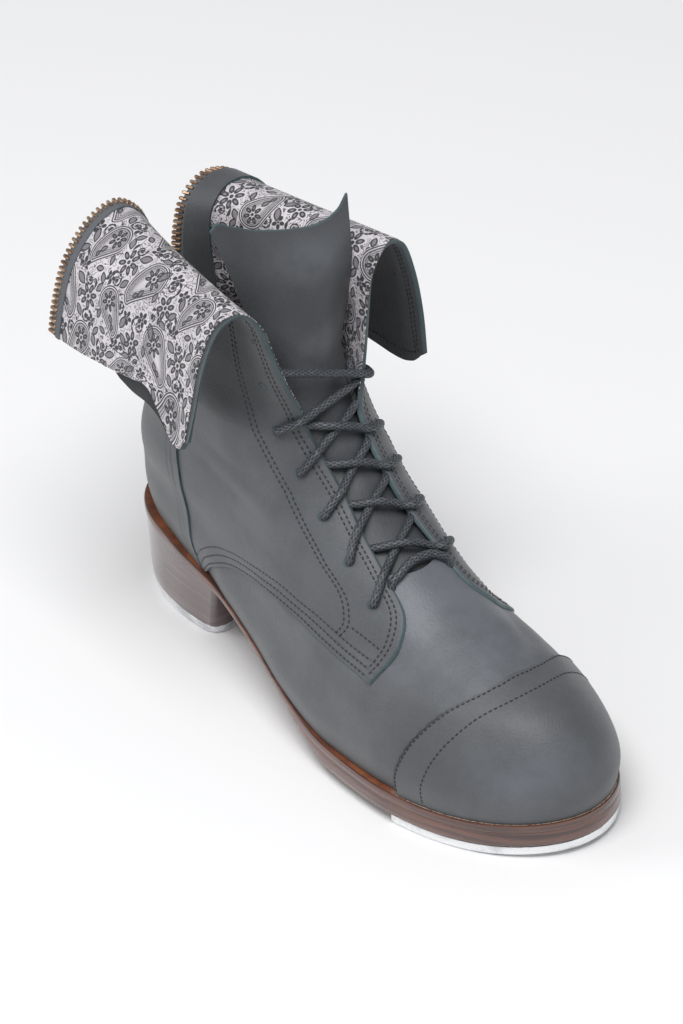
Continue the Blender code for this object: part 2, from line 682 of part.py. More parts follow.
def zip_guard():
    """Leather strip on the lining beside the medial zip half."""
    v = np.linspace(COLLAR_LEVEL + 1.0, TOP_LEVEL - 0.2, 20)
    crest = np.argmax(FOLDS[MEDIAL]["back_z"])
    length = FOLDS[MEDIAL]["front_x"][crest] - FOLDS[MEDIAL]["back_x"][crest]
    a = np.linspace(CLEARANCE, GUARD_WIDTH, 3) / length
    aa, vv = np.meshgrid(a, v)
    under = -(SHAFT_WALL + CLEARANCE)
    outer = on_upper(aa, vv, MEDIAL, np.full_like(aa, under))
    inner = on_upper(aa, vv, MEDIAL, np.full_like(aa, under - GUARD_THICKNESS))
    faces = grid_faces(np.ones((len(v) - 1, len(a) - 1), bool))
    return closed_sheet(outer.reshape(-1, 3), inner.reshape(-1, 3), faces)


def tube(points, radius):
    """Closed tube round a line of points."""
    ahead = np.gradient(points, axis=0)
    ahead /= np.linalg.norm(ahead, axis=1, keepdims=True)
    aside = np.cross(ahead, (0.0, 0.0, 1.0))
    aside /= np.linalg.norm(aside, axis=1, keepdims=True)
    above = np.cross(aside, ahead)
    turns = np.arange(LACE_SIDES) * 2 * math.pi / LACE_SIDES
    ring = np.cos(turns)[None, :, None] * aside[:, None, :] + np.sin(turns)[None, :, None] * above[:, None, :]
    return stacked_loops(list(points[:, None, :] + radius * ring))


def at_edge(v, side, inset, lift):
    """Point and normal at a distance in from the quarter's front edge."""
    v = np.array([v])
    one = np.ones(1)
    step_a = 0.02
    step = np.linalg.norm(upper_point(one, v, side) - upper_point(one - step_a, v, side))
    a = one - inset * step_a / step
    return on_upper(a, v, side, np.full(1, lift))[0], upper_normal(a, v, side)[0]


def lace_arm(side, low, high, over):
    """Line of a lace from the hole at level low, over its edge, to the other edge at level high."""
    radius = LACE_DIAMETER / 2
    lift = QUARTER_STEP + CLEARANCE + FACET_ALLOWANCE + radius
    hole, _ = at_edge(low, side, HOLE_INSET, lift)
    edge, near = at_edge(low + NEAR_EDGE_CLIMB * (high - low), side, 0.0, lift)
    far, away = at_edge(low + FAR_EDGE_CLIMB * (high - low), -side, 0.0, lift - 0.5 * radius)
    up = (near + away) / np.linalg.norm(near + away)
    arch = LACE_ARCH_LOW + (LACE_ARCH_HIGH - LACE_ARCH_LOW) * ease(low, 9.0, 11.5)
    bridge = (LACE_DIAMETER - LACE_SINK) / 2 * (1.0 if over else -1.0)
    part = np.array([0.2, 0.42, 0.62, 0.8])[:, None]
    rise = arch * 4.0 * part * (1.0 - part) + bridge * np.sin(math.pi * part) ** 2
    line = np.vstack([hole, (hole + edge) / 2 + near * 0.3, edge, edge + (far - edge) * part + up * rise])
    rows = np.linspace(0.0, len(line) - 1.0, 12)
    return smooth_rows(line, rows)


def lace_crossing(name, low, high, material):
    """Two laces that cross and press together, joined into one solid."""
    radius = LACE_DIAMETER / 2
    under = add_piece(name, tube(lace_arm(LATERAL, low, high, False), radius), material)
    over = add_piece(name + "_over", tube(lace_arm(MEDIAL, low, high, True), radius), material)
    over.hide_render = True
    over.display_type = "WIRE"
    joined = under.modifiers.new("join", "BOOLEAN")
    joined.operation = "UNION"
    joined.solver = "EXACT"
    joined.object = over


def lace_bar(level):
    """Lowest lace bar, arched over the vamp between the quarters."""
    half = np.linspace(1.14, 2.0, 6)
    v = np.full_like(half, level)
    lift = np.full_like(half, LACE_DIAMETER / 2 + CLEARANCE + FACET_ALLOWANCE)
    lateral = on_upper(half, v, LATERAL, lift)
    medial = on_upper(half, v, MEDIAL, lift)
    middle = (lateral[-1:] + medial[-1:]) / 2
    return tube(np.vstack([lateral[:-1], middle, medial[-2::-1]]), LACE_DIAMETER / 2)


def main():
    for old in list(bpy.data.objects):
        bpy.data.objects.remove(old, do_unlink=True)
    leather = paint("slate_leather", (0.10, 0.108, 0.118), 0.75)
    edge = paint("burnished_sole", (0.10, 0.035, 0.018), 0.35)
    metal = paint("tap_metal", (0.82, 0.83, 0.84), 0.25, 1.0)
    bed = paint("insole_leather", (0.45, 0.32, 0.20), 0.8)
    cord = paint("lace_cord", (0.06, 0.065, 0.072), 0.5)
    brass = paint("zip_brass", (0.35, 0.22, 0.12), 0.4, 0.8)
    add_piece("outsole", outsole(), edge)
    add_piece("half_sole", half_sole(), edge)
    add_piece("heel", heel(), edge)
    add_piece("heel_tap", heel_tap(), metal)
    add_piece("toe_tap", toe_tap(), metal)
    add_piece("insole", insole(), bed)
    add_piece("upper", upper(), leather)
    add_piece("toe_cap", toe_cap(), leather)
    add_piece("backstay", backstay(), leather)
    add_piece("tongue", tongue(), leather)
    add_piece("zip_lateral", zip_half(LATERAL), brass)
    add_piece("zip_medial", zip_half(MEDIAL), brass)
    add_piece("zip_guard", zip_guard(), leather)
    add_piece("lace_bar", lace_bar(LACE_BAR_LEVEL), cord)
    for i in range(len(HOLE_LEVELS) - 1):
        lace_crossing(f"lace_cross_{i + 1}", HOLE_LEVELS[i], HOLE_LEVELS[i + 1], cord)


main()
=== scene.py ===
# %% [markdown]
# # A laced tap boot
# This lesson dresses the plain solids of one leather tap boot. The solids give the shape of the last,
# and each cell below adds what a shoemaker would: leather panels, lining, thread, a zip and a lace.
# The frame comes first, because every surface has to lie exactly where its solid lies.

# %% Load the frame
import math

import bmesh
import bpy
import numpy as np
from mathutils import Matrix


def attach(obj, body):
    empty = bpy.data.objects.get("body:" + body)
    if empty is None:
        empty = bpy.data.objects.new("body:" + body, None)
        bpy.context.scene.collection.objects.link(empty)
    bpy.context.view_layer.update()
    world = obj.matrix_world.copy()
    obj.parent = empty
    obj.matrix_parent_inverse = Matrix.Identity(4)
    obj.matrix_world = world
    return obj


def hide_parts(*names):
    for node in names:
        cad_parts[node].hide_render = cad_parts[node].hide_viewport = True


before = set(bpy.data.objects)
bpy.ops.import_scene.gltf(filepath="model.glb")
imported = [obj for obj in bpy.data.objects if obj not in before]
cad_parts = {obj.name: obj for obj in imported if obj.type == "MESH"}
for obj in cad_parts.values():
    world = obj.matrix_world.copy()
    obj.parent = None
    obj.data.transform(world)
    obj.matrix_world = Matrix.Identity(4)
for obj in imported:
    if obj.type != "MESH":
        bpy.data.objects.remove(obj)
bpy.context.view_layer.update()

MM = 0.001
HEEL_CENTRE = 33.0      # mm from the heel's back to the origin
LATERAL = -1.0
MEDIAL = 1.0
SIDE_NAMES = {LATERAL: "lateral", MEDIAL: "medial"}
print("nodes in the frame:", len(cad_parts))

# %% [markdown]
# ## The photographer's place
# A long lens from well above the outer front quarter shows the whole boot with little perspective.
# A camera can be aimed with a Track To constraint, but a matrix built from azimuth, height angle and
# roll is exact and leaves nothing to solve. All numbers are read from the picture's own frame.

# %% Camera
IMAGE_WIDTH = 683.0
IMAGE_HEIGHT = 1024.0
SENSOR = 36.0
PHOTO_ZOOM = 1.25
AIM_PIXEL = (263.0, 542.0)
VIEW = {"azimuth": 55.016, "height": 36.368, "distance": 2943.6, "roll": -4.038, "focal": 5877.35}
VIEW_TARGET = np.array([144.74, 0.0, 57.89])
TARGET_PIXEL = (285.19, 596.78)


def minimal_turn(start, end):
    """Rotation that takes one unit vector to another the short way: I + K + K K / (1 + c)."""
    axis = np.cross(start, end)
    k = np.array([[0, -axis[2], axis[1]], [axis[2], 0, -axis[0]], [-axis[1], axis[0], 0]])
    return np.eye(3) + k + k @ k / (1.0 + start @ end)


def add_object(name, data):
    """Object in the scene for a mesh, lamp or camera."""
    made = bpy.data.objects.new(name, data)
    bpy.context.collection.objects.link(made)
    return made


def world_matrix(axes, place):
    """Matrix of an object from its three axes, as columns, and its place."""
    world = np.eye(4)
    world[:3, :3] = axes
    world[:3, 3] = place
    return Matrix(world.tolist())


def pixel_ray(pixel):
    """Direction of a pixel in camera axes, looking down minus Z."""
    x = (pixel[0] - IMAGE_WIDTH / 2) / VIEW["focal"]
    y = -(pixel[1] - IMAGE_HEIGHT / 2) / VIEW["focal"]
    ray = np.array([x, y, -1.0])
    return ray / np.linalg.norm(ray)


def camera_axes():
    """Right, up and back axes: look at the target, turn it onto its pixel, then roll."""
    azimuth = math.radians(VIEW["azimuth"])
    height = math.radians(VIEW["height"])
    roll = math.radians(VIEW["roll"])
    level = math.cos(height)
    back = np.array([math.sin(azimuth) * level, -math.cos(azimuth) * level, math.sin(height)])
    right = np.array([math.cos(azimuth), math.sin(azimuth), 0.0])
    place = VIEW_TARGET + back * VIEW["distance"]
    axes = np.stack([right, np.cross(back, right), back], axis=1)
    axes = axes @ minimal_turn(pixel_ray(TARGET_PIXEL), np.array([0.0, 0.0, -1.0]))
    right, up, back = axes.T
    turned = right * math.cos(roll) + up * math.sin(roll)
    raised = -right * math.sin(roll) + up * math.cos(roll)
    axes = np.stack([turned, raised, back], axis=1)
    axes = axes @ minimal_turn(np.array([0.0, 0.0, -1.0]), pixel_ray(AIM_PIXEL))
    return axes, place


def add_camera():
    """Long lens at the photographer's place."""
    axes, place = camera_axes()
    data = bpy.data.cameras.new("camera")
    data.sensor_width = SENSOR
    data.lens = VIEW["focal"] * SENSOR / IMAGE_HEIGHT * PHOTO_ZOOM
    data.clip_end = 50.0
    camera = add_object("camera", data)
    camera.matrix_world = world_matrix(axes, (place - (HEEL_CENTRE, 0.0, 0.0)) * MM)
    bpy.context.scene.camera = camera
    return camera


camera = add_camera()
print("camera lens:", round(camera.data.lens, 1), "mm at", [round(c, 3) for c in camera.location])

# %% [markdown]
# ## Floor and studio light
# The boot stands on a white sweep. A large plane is enough, because the lens looks down on it. A
# broad lamp overhead gives the soft shine on the vamp, a smaller one to the left lifts the outer side,
# and a near-white sky fills the rest, as paper walls would. The plain display transform keeps the
# paper white, where a film-like one would turn it grey.

# %% Floor, lamps and sky
FLOOR_SIZE = 12.0
LAMPS = {
    "overhead_lamp": {"at": (0.55, -0.45, 1.85), "size": 1.15, "power": 29.0},
    "left_lamp": {"at": (-0.9, -1.3, 0.95), "size": 0.8, "power": 7.4},
}
LAMP_AIM = np.array([0.08, 0.0, 0.07])
SKY_STRENGTH = 0.38
bpy.context.scene.view_settings.view_transform = "Standard"


def add_floor():
    """Square of white paper at floor height."""
    half = FLOOR_SIZE / 2
    mesh = bpy.data.meshes.new("floor")
    mesh.from_pydata([(-half, -half, 0), (half, -half, 0), (half, half, 0), (-half, half, 0)], [],
                     [(0, 1, 2, 3)])
    floor = add_object("floor", mesh)
    paper = bpy.data.materials.new("floor_paper")
    paper.use_nodes = True
    shader = paper.node_tree.nodes["Principled BSDF"]
    shader.inputs["Base Color"].default_value = (0.9, 0.9, 0.905, 1.0)
    shader.inputs["Roughness"].default_value = 0.9
    mesh.materials.append(paper)
    return floor


def add_lamp(name, at, size, power):
    """Square soft lamp turned towards the boot: its minus Z axis looks along the aim."""
    data = bpy.data.lights.new(name, "AREA")
    data.size = size
    data.energy = power
    lamp = add_object(name, data)
    away = np.array(at) - LAMP_AIM
    away = away / np.linalg.norm(away)
    lamp.matrix_world = world_matrix(minimal_turn(np.array([0.0, 0.0, 1.0]), away), at)
    return lamp


def set_sky():
    """Even, slightly cool white from all sides."""
    world = bpy.data.worlds.new("studio")
    bpy.context.scene.world = world
    world.use_nodes = True
    background = world.node_tree.nodes["Background"]
    background.inputs["Color"].default_value = (0.97, 0.98, 1.0, 1.0)
    background.inputs["Strength"].default_value = SKY_STRENGTH


add_floor()
lamps = [add_lamp(name, **values) for name, values in LAMPS.items()]
set_sky()
print("lamps:", [lamp.name for lamp in lamps])

# %% [markdown]
# ## Curves through short tables
# A last is drawn as sections. Each table below has one row for a section, and a Catmull-Rom curve
# runs smoothly through the rows, so a few numbers give a surface that can be read at any fineness.

# %% Table tools


def table(names, rows):
    """Columns of a table by name."""
    values = np.array(rows, float)
    return {name: values[:, i] for i, name in enumerate(names.split())}


def table_rows(columns):
    """The rows of a table of columns, one dictionary each."""
    return [dict(zip(columns, row)) for row in zip(*columns.values())]


def smooth_rows(values, at):
    """Catmull-Rom curve through the rows of values, read at row numbers that may be fractional."""
    values = np.asarray(values, float)
    at = np.asarray(at, float)
    last = len(values) - 1
    row = np.clip(np.floor(at).astype(int), 0, last - 1)
    part = at - row
    before = values[np.clip(row - 1, 0, last)]
    start = values[row]
    end = values[row + 1]
    after = values[np.clip(row + 2, 0, last)]
    if values.ndim > 1:
        part = part[..., None]
    bend = 2 * before - 5 * start + 4 * end - after
    twist = 3 * start - before - 3 * end + after
    return start + 0.5 * part * (end - before + part * (bend + part * twist))


def smooth_lookup(x, keys, values):
    """Smooth curve through value against key: the row number is found first, then eased between rows."""
    rows = np.interp(x, keys, np.arange(len(keys), dtype=float))
    return smooth_rows(values, rows)


def ease(x, low, high):
    """Smooth step from 0 at low to 1 at high: 3 t t - 2 t t t."""
    t = np.clip((np.asarray(x, float) - low) / (high - low), 0.0, 1.0)
    return t * t * (3.0 - 2.0 * t)


def band(x, low, full, fade, end):
    """1 between full and fade, easing up from 0 at low and down to 0 at end."""
    return ease(x, low, full) * (1.0 - ease(x, fade, end))


def run_length(points):
    """Distance along a line of points from its start: the running sum of its steps."""
    return np.concatenate([[0.0], np.cumsum(np.linalg.norm(np.diff(points, axis=0), axis=1))])


def read_line(at, run, values):
    """Vectors along a line, read between its points at the distances given."""
    return np.stack([np.interp(at, run, values[:, k]) for k in range(3)], axis=-1)


def unit(vectors):
    """Vectors scaled to length one."""
    return vectors / np.maximum(np.linalg.norm(vectors, axis=-1, keepdims=True), 1e-9)


print("ease at the middle:", ease(0.5, 0.0, 1.0))

# %% [markdown]
# ## The sole's outline
# Half-width and swing at eleven stations, with oval ends, give the tread line of a right foot. The
# same function serves the outsole, the half sole, the insole, both taps and the heel.

# %% Sole functions
SOLE_LENGTH = 275.0
TAP = 4.0
HALF_SOLE = 6.7
OUTSOLE = 3.5
GAP = 0.3
HEEL_RIM_HEIGHT = 38.0
TOE_SPRING = 2.6
SEAT_RISE = 3.8
SEAT_LEVEL = 52.0       # where the rise at the back of the heel seat ends
SEAT_FRONT = 60.0
BALL_BACK = 172.0
BALL_FRONT = 226.0
TOE_ROUND = 75.0
HEEL_ROUND = 32.0
WAIST_HALF = 36.3
OUTLINE = table("at half swing", [
    (0.0, 27.4, 2.6), (0.1, 27.4, 2.3), (0.2, 30.2, 0.2), (0.3, 30.8, -3.7), (0.4, 31.8, -7.1),
    (0.5, 36.3, -8.0), (0.6, 42.2, -6.0), (0.7, 45.6, -3.2), (0.8, 45.8, -1.0), (0.9, 45.5, 1.1),
    (1.0, 46.0, 4.2),
])
# How far the sole stands out beyond the last at the heel, in mm
WELT_REACH = table("x out", [
    (0.0, 1.5), (8.0, 2.8), (22.0, 2.9), (45.0, 2.4), (62.0, 1.4), (82.0, 0.0), (275.0, 0.0),
])


def sole_top(x):
    """Height of the sole's rim: level heel seat, eased waist, level ball and a squared toe spring."""
    ball = TAP + HALF_SOLE + OUTSOLE + 2 * GAP
    rise = (HEEL_RIM_HEIGHT - ball) * (1.0 - ease(x, SEAT_FRONT, BALL_BACK))
    spring = np.clip((np.asarray(x, float) - BALL_FRONT) / (SOLE_LENGTH - BALL_FRONT), 0.0, None)
    return ball + rise + TOE_SPRING * spring ** 2


def rim_top(x):
    """Height of the made sole's rim: the sole's top, but rising at the back of the heel seat."""
    return sole_top(x) + SEAT_RISE * (1.0 - ease(x, 0.0, SEAT_LEVEL))


def oval_end(distance, length):
    """Part of the full width at a distance from the tip of an oval end: a quarter ellipse."""
    q = np.clip(distance / length, 0.0, 1.0)
    return np.sqrt(np.clip(1.0 - (1.0 - q) ** 2, 0.0, None))


def outline_columns(x):
    """The sole's half-width and swing at x, before the ends are rounded."""
    rows = np.clip(np.asarray(x, float) / SOLE_LENGTH, 0.0, 1.0) * (len(OUTLINE["at"]) - 1)
    return smooth_rows(OUTLINE["half"], rows), smooth_rows(OUTLINE["swing"], rows)


def sole_edge(x, side, inset=0.0):
    """y of the sole's outline at x, moved in by inset."""
    half, swing = outline_columns(x)
    half = half + smooth_lookup(x, WELT_REACH["x"], WELT_REACH["out"])
    ends = oval_end(SOLE_LENGTH - inset - x, TOE_ROUND) * oval_end(x - inset, HEEL_ROUND)
    return swing + side * (half - inset) * ends


print("ball width:", round(float(sole_edge(200.0, MEDIAL) - sole_edge(200.0, LATERAL)), 1), "mm")

# %% [markdown]
# ## The upper's surface
# Each level is an oval loop round the foot, from a point on the heel line to one on the ridge. Above
# the collar the two shaft halves fold outwards and down, as lines from the zip edge to the front
# edge. One function of two parameters, along and level, then holds every leather panel.

# %% Upper tables
COLLAR_LEVEL = 11.0
THROAT_LEVEL = 7.0
ZIP_LEVEL = 7.4
TOP_LEVEL = 20.0
WING_LEVEL = 2.7
BOW_POWER = 0.8
LEVELS = table("front_x front_z nose back_x back_z heel side follow edge_x zip_gap", [
    (272.0, 17.6, 73, 3.4, 38.3, 32, 33.0, 1.00, 178.0, 0.0),
    (274.0, 29.5, 76, 1.8, 50.0, 33, 34.8, 1.00, 181.0, 0.0),
    (268.9, 42.5, 82, 2.0, 61.0, 34, 34.2, 0.88, 185.0, 0.0),
    (257.0, 53.5, 110, 2.8, 68.5, 36, 33.5, 0.68, 189.2, 0.0),
    (237.0, 60.0, 128, 3.8, 74.5, 38, 33.0, 0.46, 191.3, 0.0),
    (216.0, 66.5, 104, 5.0, 80.5, 41, 32.6, 0.30, 191.2, 0.0),
    (196.5, 74.5, 84, 6.8, 87.0, 47, 32.0, 0.16, 185.6, 0.0),
    (177.5, 84.5, 68, 8.8, 94.0, 57, 31.5, 0.06, 170.5, 0.0),
    (160.0, 94.5, 60, 10.6, 101.0, 63, 31.2, 0.02, 155.0, 2.4),
    (146.5, 104.5, 55, 11.8, 108.5, 67, 31.0, 0.0, 142.5, 3.4),
    (135.5, 114.5, 50, 12.6, 116.5, 69, 30.7, 0.0, 131.5, 4.2),
    (127.5, 125.5, 46, 13.2, 126.0, 68, 30.4, 0.0, 122.8, 5.0),
])
FOLD_COLUMNS = "front_x front_out front_z back_x back_out back_z bow"
FOLDS = {
    LATERAL: table(FOLD_COLUMNS, [
        (120.5, 16.0, 138.0, 13.6, 6.0, 138.0, 15.0),
        (117.5, 20.5, 153.0, 14.1, 7.5, 152.0, 10.0),
        (115.5, 24.0, 168.0, 14.6, 9.0, 166.0, 5.5),
        (114.0, 27.0, 180.0, 15.0, 12.5, 178.0, 2.5),
        (112.0, 33.5, 188.0, 15.0, 22.0, 186.0, 0.5),
        (110.5, 43.5, 185.0, 15.0, 35.0, 182.5, 0.0),
        (109.5, 51.5, 171.0, 15.0, 47.0, 170.0, 0.0),
        (108.5, 56.5, 152.5, 15.0, 53.5, 154.0, 0.0),
        (107.5, 60.0, 134.0, 15.0, 57.0, 139.0, 0.0),
    ]),
    MEDIAL: table(FOLD_COLUMNS, [
        (120.0, 17.0, 138.0, 13.6, 6.0, 138.0, 15.0),
        (116.0, 22.5, 153.0, 14.1, 7.5, 151.0, 10.0),
        (113.5, 26.5, 168.0, 14.6, 9.0, 163.0, 5.5),
        (112.0, 30.5, 180.0, 15.0, 12.5, 173.5, 2.5),
        (111.0, 38.5, 188.0, 15.0, 22.0, 180.0, 0.5),
        (110.5, 46.5, 185.0, 15.0, 34.0, 177.0, 0.0),
        (110.0, 51.5, 169.0, 15.0, 43.5, 164.0, 0.0),
        (110.0, 54.0, 150.0, 15.0, 48.5, 149.0, 0.0),
        (110.0, 55.0, 131.0, 15.0, 51.0, 134.0, 0.0),
    ]),
}
# How far each half's free edge is raised along it; the outer half's leather hangs below its lining
TOP_EDGE = table("along lateral medial leather", [
    (0.0, 0.0, 0.0, 0.3),
    (0.2, 2.5, -3.0, 2.8),
    (0.4, 6.5, -9.0, 7.2),
    (0.46, 8.0, -11.0, 8.4),
    (0.5, 9.0, -12.0, 6.8),
    (0.6, 11.5, -13.0, 5.6),
    (0.72, 13.5, -13.0, 6.0),
    (0.8, 6.0, -13.0, 3.4),
    (0.88, -3.5, -12.0, -4.0),
    (0.95, -3.0, -9.0, -3.5),
    (1.0, 3.0, -4.0, 2.5),
])
# How far the leather bulges out over the welt at the sole, in mm
FEATHER_SWELL = table("x out", [
    (0.0, 0.6), (55.0, 0.8), (72.0, 1.3), (85.0, 2.2), (130.0, 2.4), (150.0, 1.7), (178.0, 0.5),
    (206.0, 0.2), (216.0, 0.5), (275.0, 0.6),
])
print("levels:", len(LEVELS["nose"]), "fold lines a side:", len(FOLDS[LATERAL]["bow"]))

# %% Upper functions


def level_row(v):
    """All columns of the level table at a fractional level."""
    return {name: smooth_rows(column, v) for name, column in LEVELS.items()}


def foot_point(x, v, side):
    """Vamp surface at x on level v: width of the section times the oval of nose and heel."""
    row = level_row(v)
    half, swing = outline_columns(x)
    follow = np.clip(row["follow"], 0.0, 1.0)
    swell = np.interp(x, FEATHER_SWELL["x"], FEATHER_SWELL["out"]) * (1.0 - ease(v, 0.5, 2.4))
    width = row["side"] + follow * (half - WAIST_HALF) + swell
    width = width * oval_end(row["front_x"] - x, row["nose"]) * oval_end(x - row["back_x"], row["heel"])
    t = (x - row["back_x"]) / (row["front_x"] - row["back_x"])
    line = row["back_z"] + (row["front_z"] - row["back_z"]) * t
    back_top = sole_top(row["back_x"])
    chord = back_top + (sole_top(row["front_x"]) - back_top) * t
    z = line + follow * (sole_top(x) - chord)
    return np.stack([x, swing * np.sqrt(follow) + side * width, z], axis=-1)


def loop_angle(x, row):
    """Angle round a level loop, 0 at the heel and pi at the ridge."""
    t = (x - row["back_x"]) / (row["front_x"] - row["back_x"])
    return np.arccos(np.clip(1.0 - 2.0 * t, -1.0, 1.0))


def zip_angle(row):
    """Angle at the zip's edge, which is the heel line itself below the zip."""
    gap = np.clip(row["zip_gap"], 0.0, None) / row["side"]
    return loop_angle(row["back_x"] + row["heel"] * (1.0 - np.sqrt(1.0 - gap ** 2)), row)


def angle_x(angle, row):
    """x at an angle round a level loop."""
    return row["back_x"] + (row["front_x"] - row["back_x"]) * (1.0 - np.cos(angle)) / 2.0


def foot_x(a, v):
    """x on level v for a from 0 (zip or heel line) to 1 (quarter's front edge) to 2 (ridge)."""
    row = level_row(v)
    start = zip_angle(row)
    edge = loop_angle(row["edge_x"], row)
    angle = np.where(a <= 1.0, start + (edge - start) * a, edge + (math.pi - edge) * (a - 1.0))
    return angle_x(angle, row)


def fold_line(a, fold, index, side, edge_name):
    """One fold line of a shaft half: straight from zip edge to front edge, plus a sine bow."""
    value = {name: column[index] for name, column in fold.items()}
    x = value["back_x"] + (value["front_x"] - value["back_x"]) * a
    out = value["back_out"] + (value["front_out"] - value["back_out"]) * a
    out = out + value["bow"] * np.sin(math.pi * a) ** BOW_POWER
    z = value["back_z"] + (value["front_z"] - value["back_z"]) * a
    if index == len(fold["bow"]) - 1:
        z = z + smooth_lookup(a, TOP_EDGE["along"], TOP_EDGE[edge_name])
    return np.stack([x, side * out, z], axis=-1)


def shaft_point(a, v, side, edge_name):
    """Shaft half above the collar: a smooth loft through the last two levels and the folds."""
    fold = FOLDS[side]
    first = COLLAR_LEVEL - 1.0
    lines = [foot_point(foot_x(a, np.full_like(a, level)), np.full_like(a, level), side)
             for level in (first, COLLAR_LEVEL)]
    lines += [fold_line(np.clip(a, 0.0, 1.0), fold, i, side, edge_name) for i in range(len(fold["bow"]))]
    weights = smooth_rows(np.eye(len(lines)), v - first)
    return sum(weights[..., k, None] * line for k, line in enumerate(lines))


def upper_point(a, v, side, edge_name=None):
    """The upper's own surface, foot and folded shaft."""
    low = np.minimum(v, COLLAR_LEVEL)
    foot = foot_point(foot_x(a, low), low, side)
    name = edge_name or SIDE_NAMES[side]
    shaft = shaft_point(np.minimum(a, 1.0), np.maximum(v, COLLAR_LEVEL), side, name)
    return np.where((v <= COLLAR_LEVEL)[..., None], foot, shaft)


def upper_steps(a, v, side, edge_name=None):
    """Change of the surface along and up at each point, by small differences."""
    da = 0.004
    dv = 0.01
    a_low = np.clip(a - da, 0.0, None)
    a_high = np.where(v > THROAT_LEVEL, np.clip(a + da, None, 1.0), np.clip(a + da, None, 2.0))
    v_low = np.clip(v - dv, 0.0, None)
    v_high = np.clip(v + dv, None, TOP_LEVEL)
    along = upper_point(a_high, v, side, edge_name) - upper_point(a_low, v, side, edge_name)
    up = upper_point(a, v_high, side, edge_name) - upper_point(a, v_low, side, edge_name)
    return along / (a_high - a_low)[..., None], up / (v_high - v_low)[..., None]


def upper_normal(a, v, side, edge_name=None):
    """Unit normal of the upper, out of the boot before folding: up cross along."""
    along, up = upper_steps(a, v, side, edge_name)
    return unit(np.cross(up, along) * side)


def on_upper(a, v, side, lift, edge_name=None):
    """Points lifted off the upper's surface along its normal."""
    normal = upper_normal(a, v, side, edge_name)
    return upper_point(a, v, side, edge_name) + normal * np.asarray(lift)[..., None]


def foot_loop(angle, v):
    """Foot surface by angle round a level: 0 heel, pi ridge on the outer side, on to 2 pi inside."""
    side = np.where(angle <= math.pi, LATERAL, MEDIAL)
    bent = np.where(angle <= math.pi, angle, 2.0 * math.pi - angle)
    row = level_row(v)
    return foot_point(angle_x(bent, row), v, side)


collar_point = upper_point(np.array([1.0]), np.array([COLLAR_LEVEL]), LATERAL)[0]
print("front of the collar, outer side:", np.round(collar_point, 1))

# %% [markdown]
# ## From arrays to a mesh
# A panel is two matching grids of points, its face and its back, with a rim between them. The points
# go into the mesh with foreach_set, which takes whole arrays. Rim, face and back can have materials
# of their own, so the cut edge of a leather shows its raw colour.

# %% Mesh tools
SHARP_ANGLE = math.radians(42.0)


def grid_quads(rows, cols, wrap=False, close=False):
    """Corner numbers of a grid's quads; wrap joins the last column to the first, close the last row."""
    index = np.arange(rows * cols).reshape(rows, cols)
    if close:
        index = np.concatenate([index, index[:1]], axis=0)
    if wrap:
        index = np.concatenate([index, index[:, :1]], axis=1)
    corners = (index[:-1, :-1], index[:-1, 1:], index[1:, 1:], index[1:, :-1])
    return np.stack(corners, axis=-1).reshape(-1, 4)


def faces_out(points, quads, outwards):
    """Whether quads look along the outward directions: the sum of normal times direction isn't negative."""
    corners = points[quads]
    normal = np.cross(corners[:, 2] - corners[:, 0], corners[:, 3] - corners[:, 1])
    return np.sum(normal * outwards.reshape(-1, 3)[quads[:, 0]]) >= 0.0


def two_faced(outer, inner):
    """Closed sheet of two grids: points, quads and the part of each quad (0 face, 1 back, 2 rim)."""
    rows, cols = outer.shape[:2]
    count = rows * cols
    face = grid_quads(rows, cols)
    index = np.arange(count).reshape(rows, cols)
    edge = np.concatenate([index[0], index[1:, -1], index[-1, -2::-1], index[-2:0:-1, 0]])
    following = np.roll(edge, -1)
    rim = np.stack([following, edge, edge + count, following + count], axis=-1)
    quads = np.vstack([face, face[:, ::-1] + count, rim])
    part = np.repeat([0, 1, 2], [len(face), len(face), len(rim)])
    points = np.vstack([outer.reshape(-1, 3), inner.reshape(-1, 3)])
    if not faces_out(points, face, outer - inner):
        quads = quads[:, ::-1]
    return points, quads, part


def merge_doubles(mesh):
    """Joins points that coincide, so seams and poles are closed."""
    work = bmesh.new()
    work.from_mesh(mesh)
    bmesh.ops.remove_doubles(work, verts=work.verts, dist=2e-6)
    work.to_mesh(mesh)
    work.free()


def add_piece(name, points, faces, materials, part=None, uv=None, values=None, weld=False):
    """Object from points in mm and faces (a corner of -1 makes a triangle), placed in the row frame."""
    corners = faces.reshape(-1)
    corners = corners[corners >= 0]
    sizes = (faces >= 0).sum(axis=1)
    mesh = bpy.data.meshes.new(name)
    mesh.vertices.add(len(points))
    mesh.vertices.foreach_set("co", ((points - (HEEL_CENTRE, 0.0, 0.0)) * MM).reshape(-1))
    mesh.loops.add(len(corners))
    mesh.polygons.add(len(faces))
    mesh.polygons.foreach_set("loop_start", np.cumsum(sizes) - sizes)
    mesh.polygons.foreach_set("vertices", corners.astype(np.int32))
    if part is not None:
        mesh.polygons.foreach_set("material_index", part.astype(np.int32))
    if uv is not None:
        layer = mesh.uv_layers.new(name="UVMap")
        layer.data.foreach_set("uv", uv[corners].reshape(-1))
    for key, column in (values or {}).items():
        attribute = mesh.attributes.new(key, "FLOAT", "POINT")
        attribute.data.foreach_set("value", column.reshape(-1))
    mesh.update(calc_edges=True)
    if weld:
        merge_doubles(mesh)
    mesh.shade_smooth()
    mesh.set_sharp_from_angle(angle=SHARP_ANGLE)
    for material in materials:
        mesh.materials.append(material)
    piece = add_object(name, mesh)
    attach(piece, "root")
    return piece


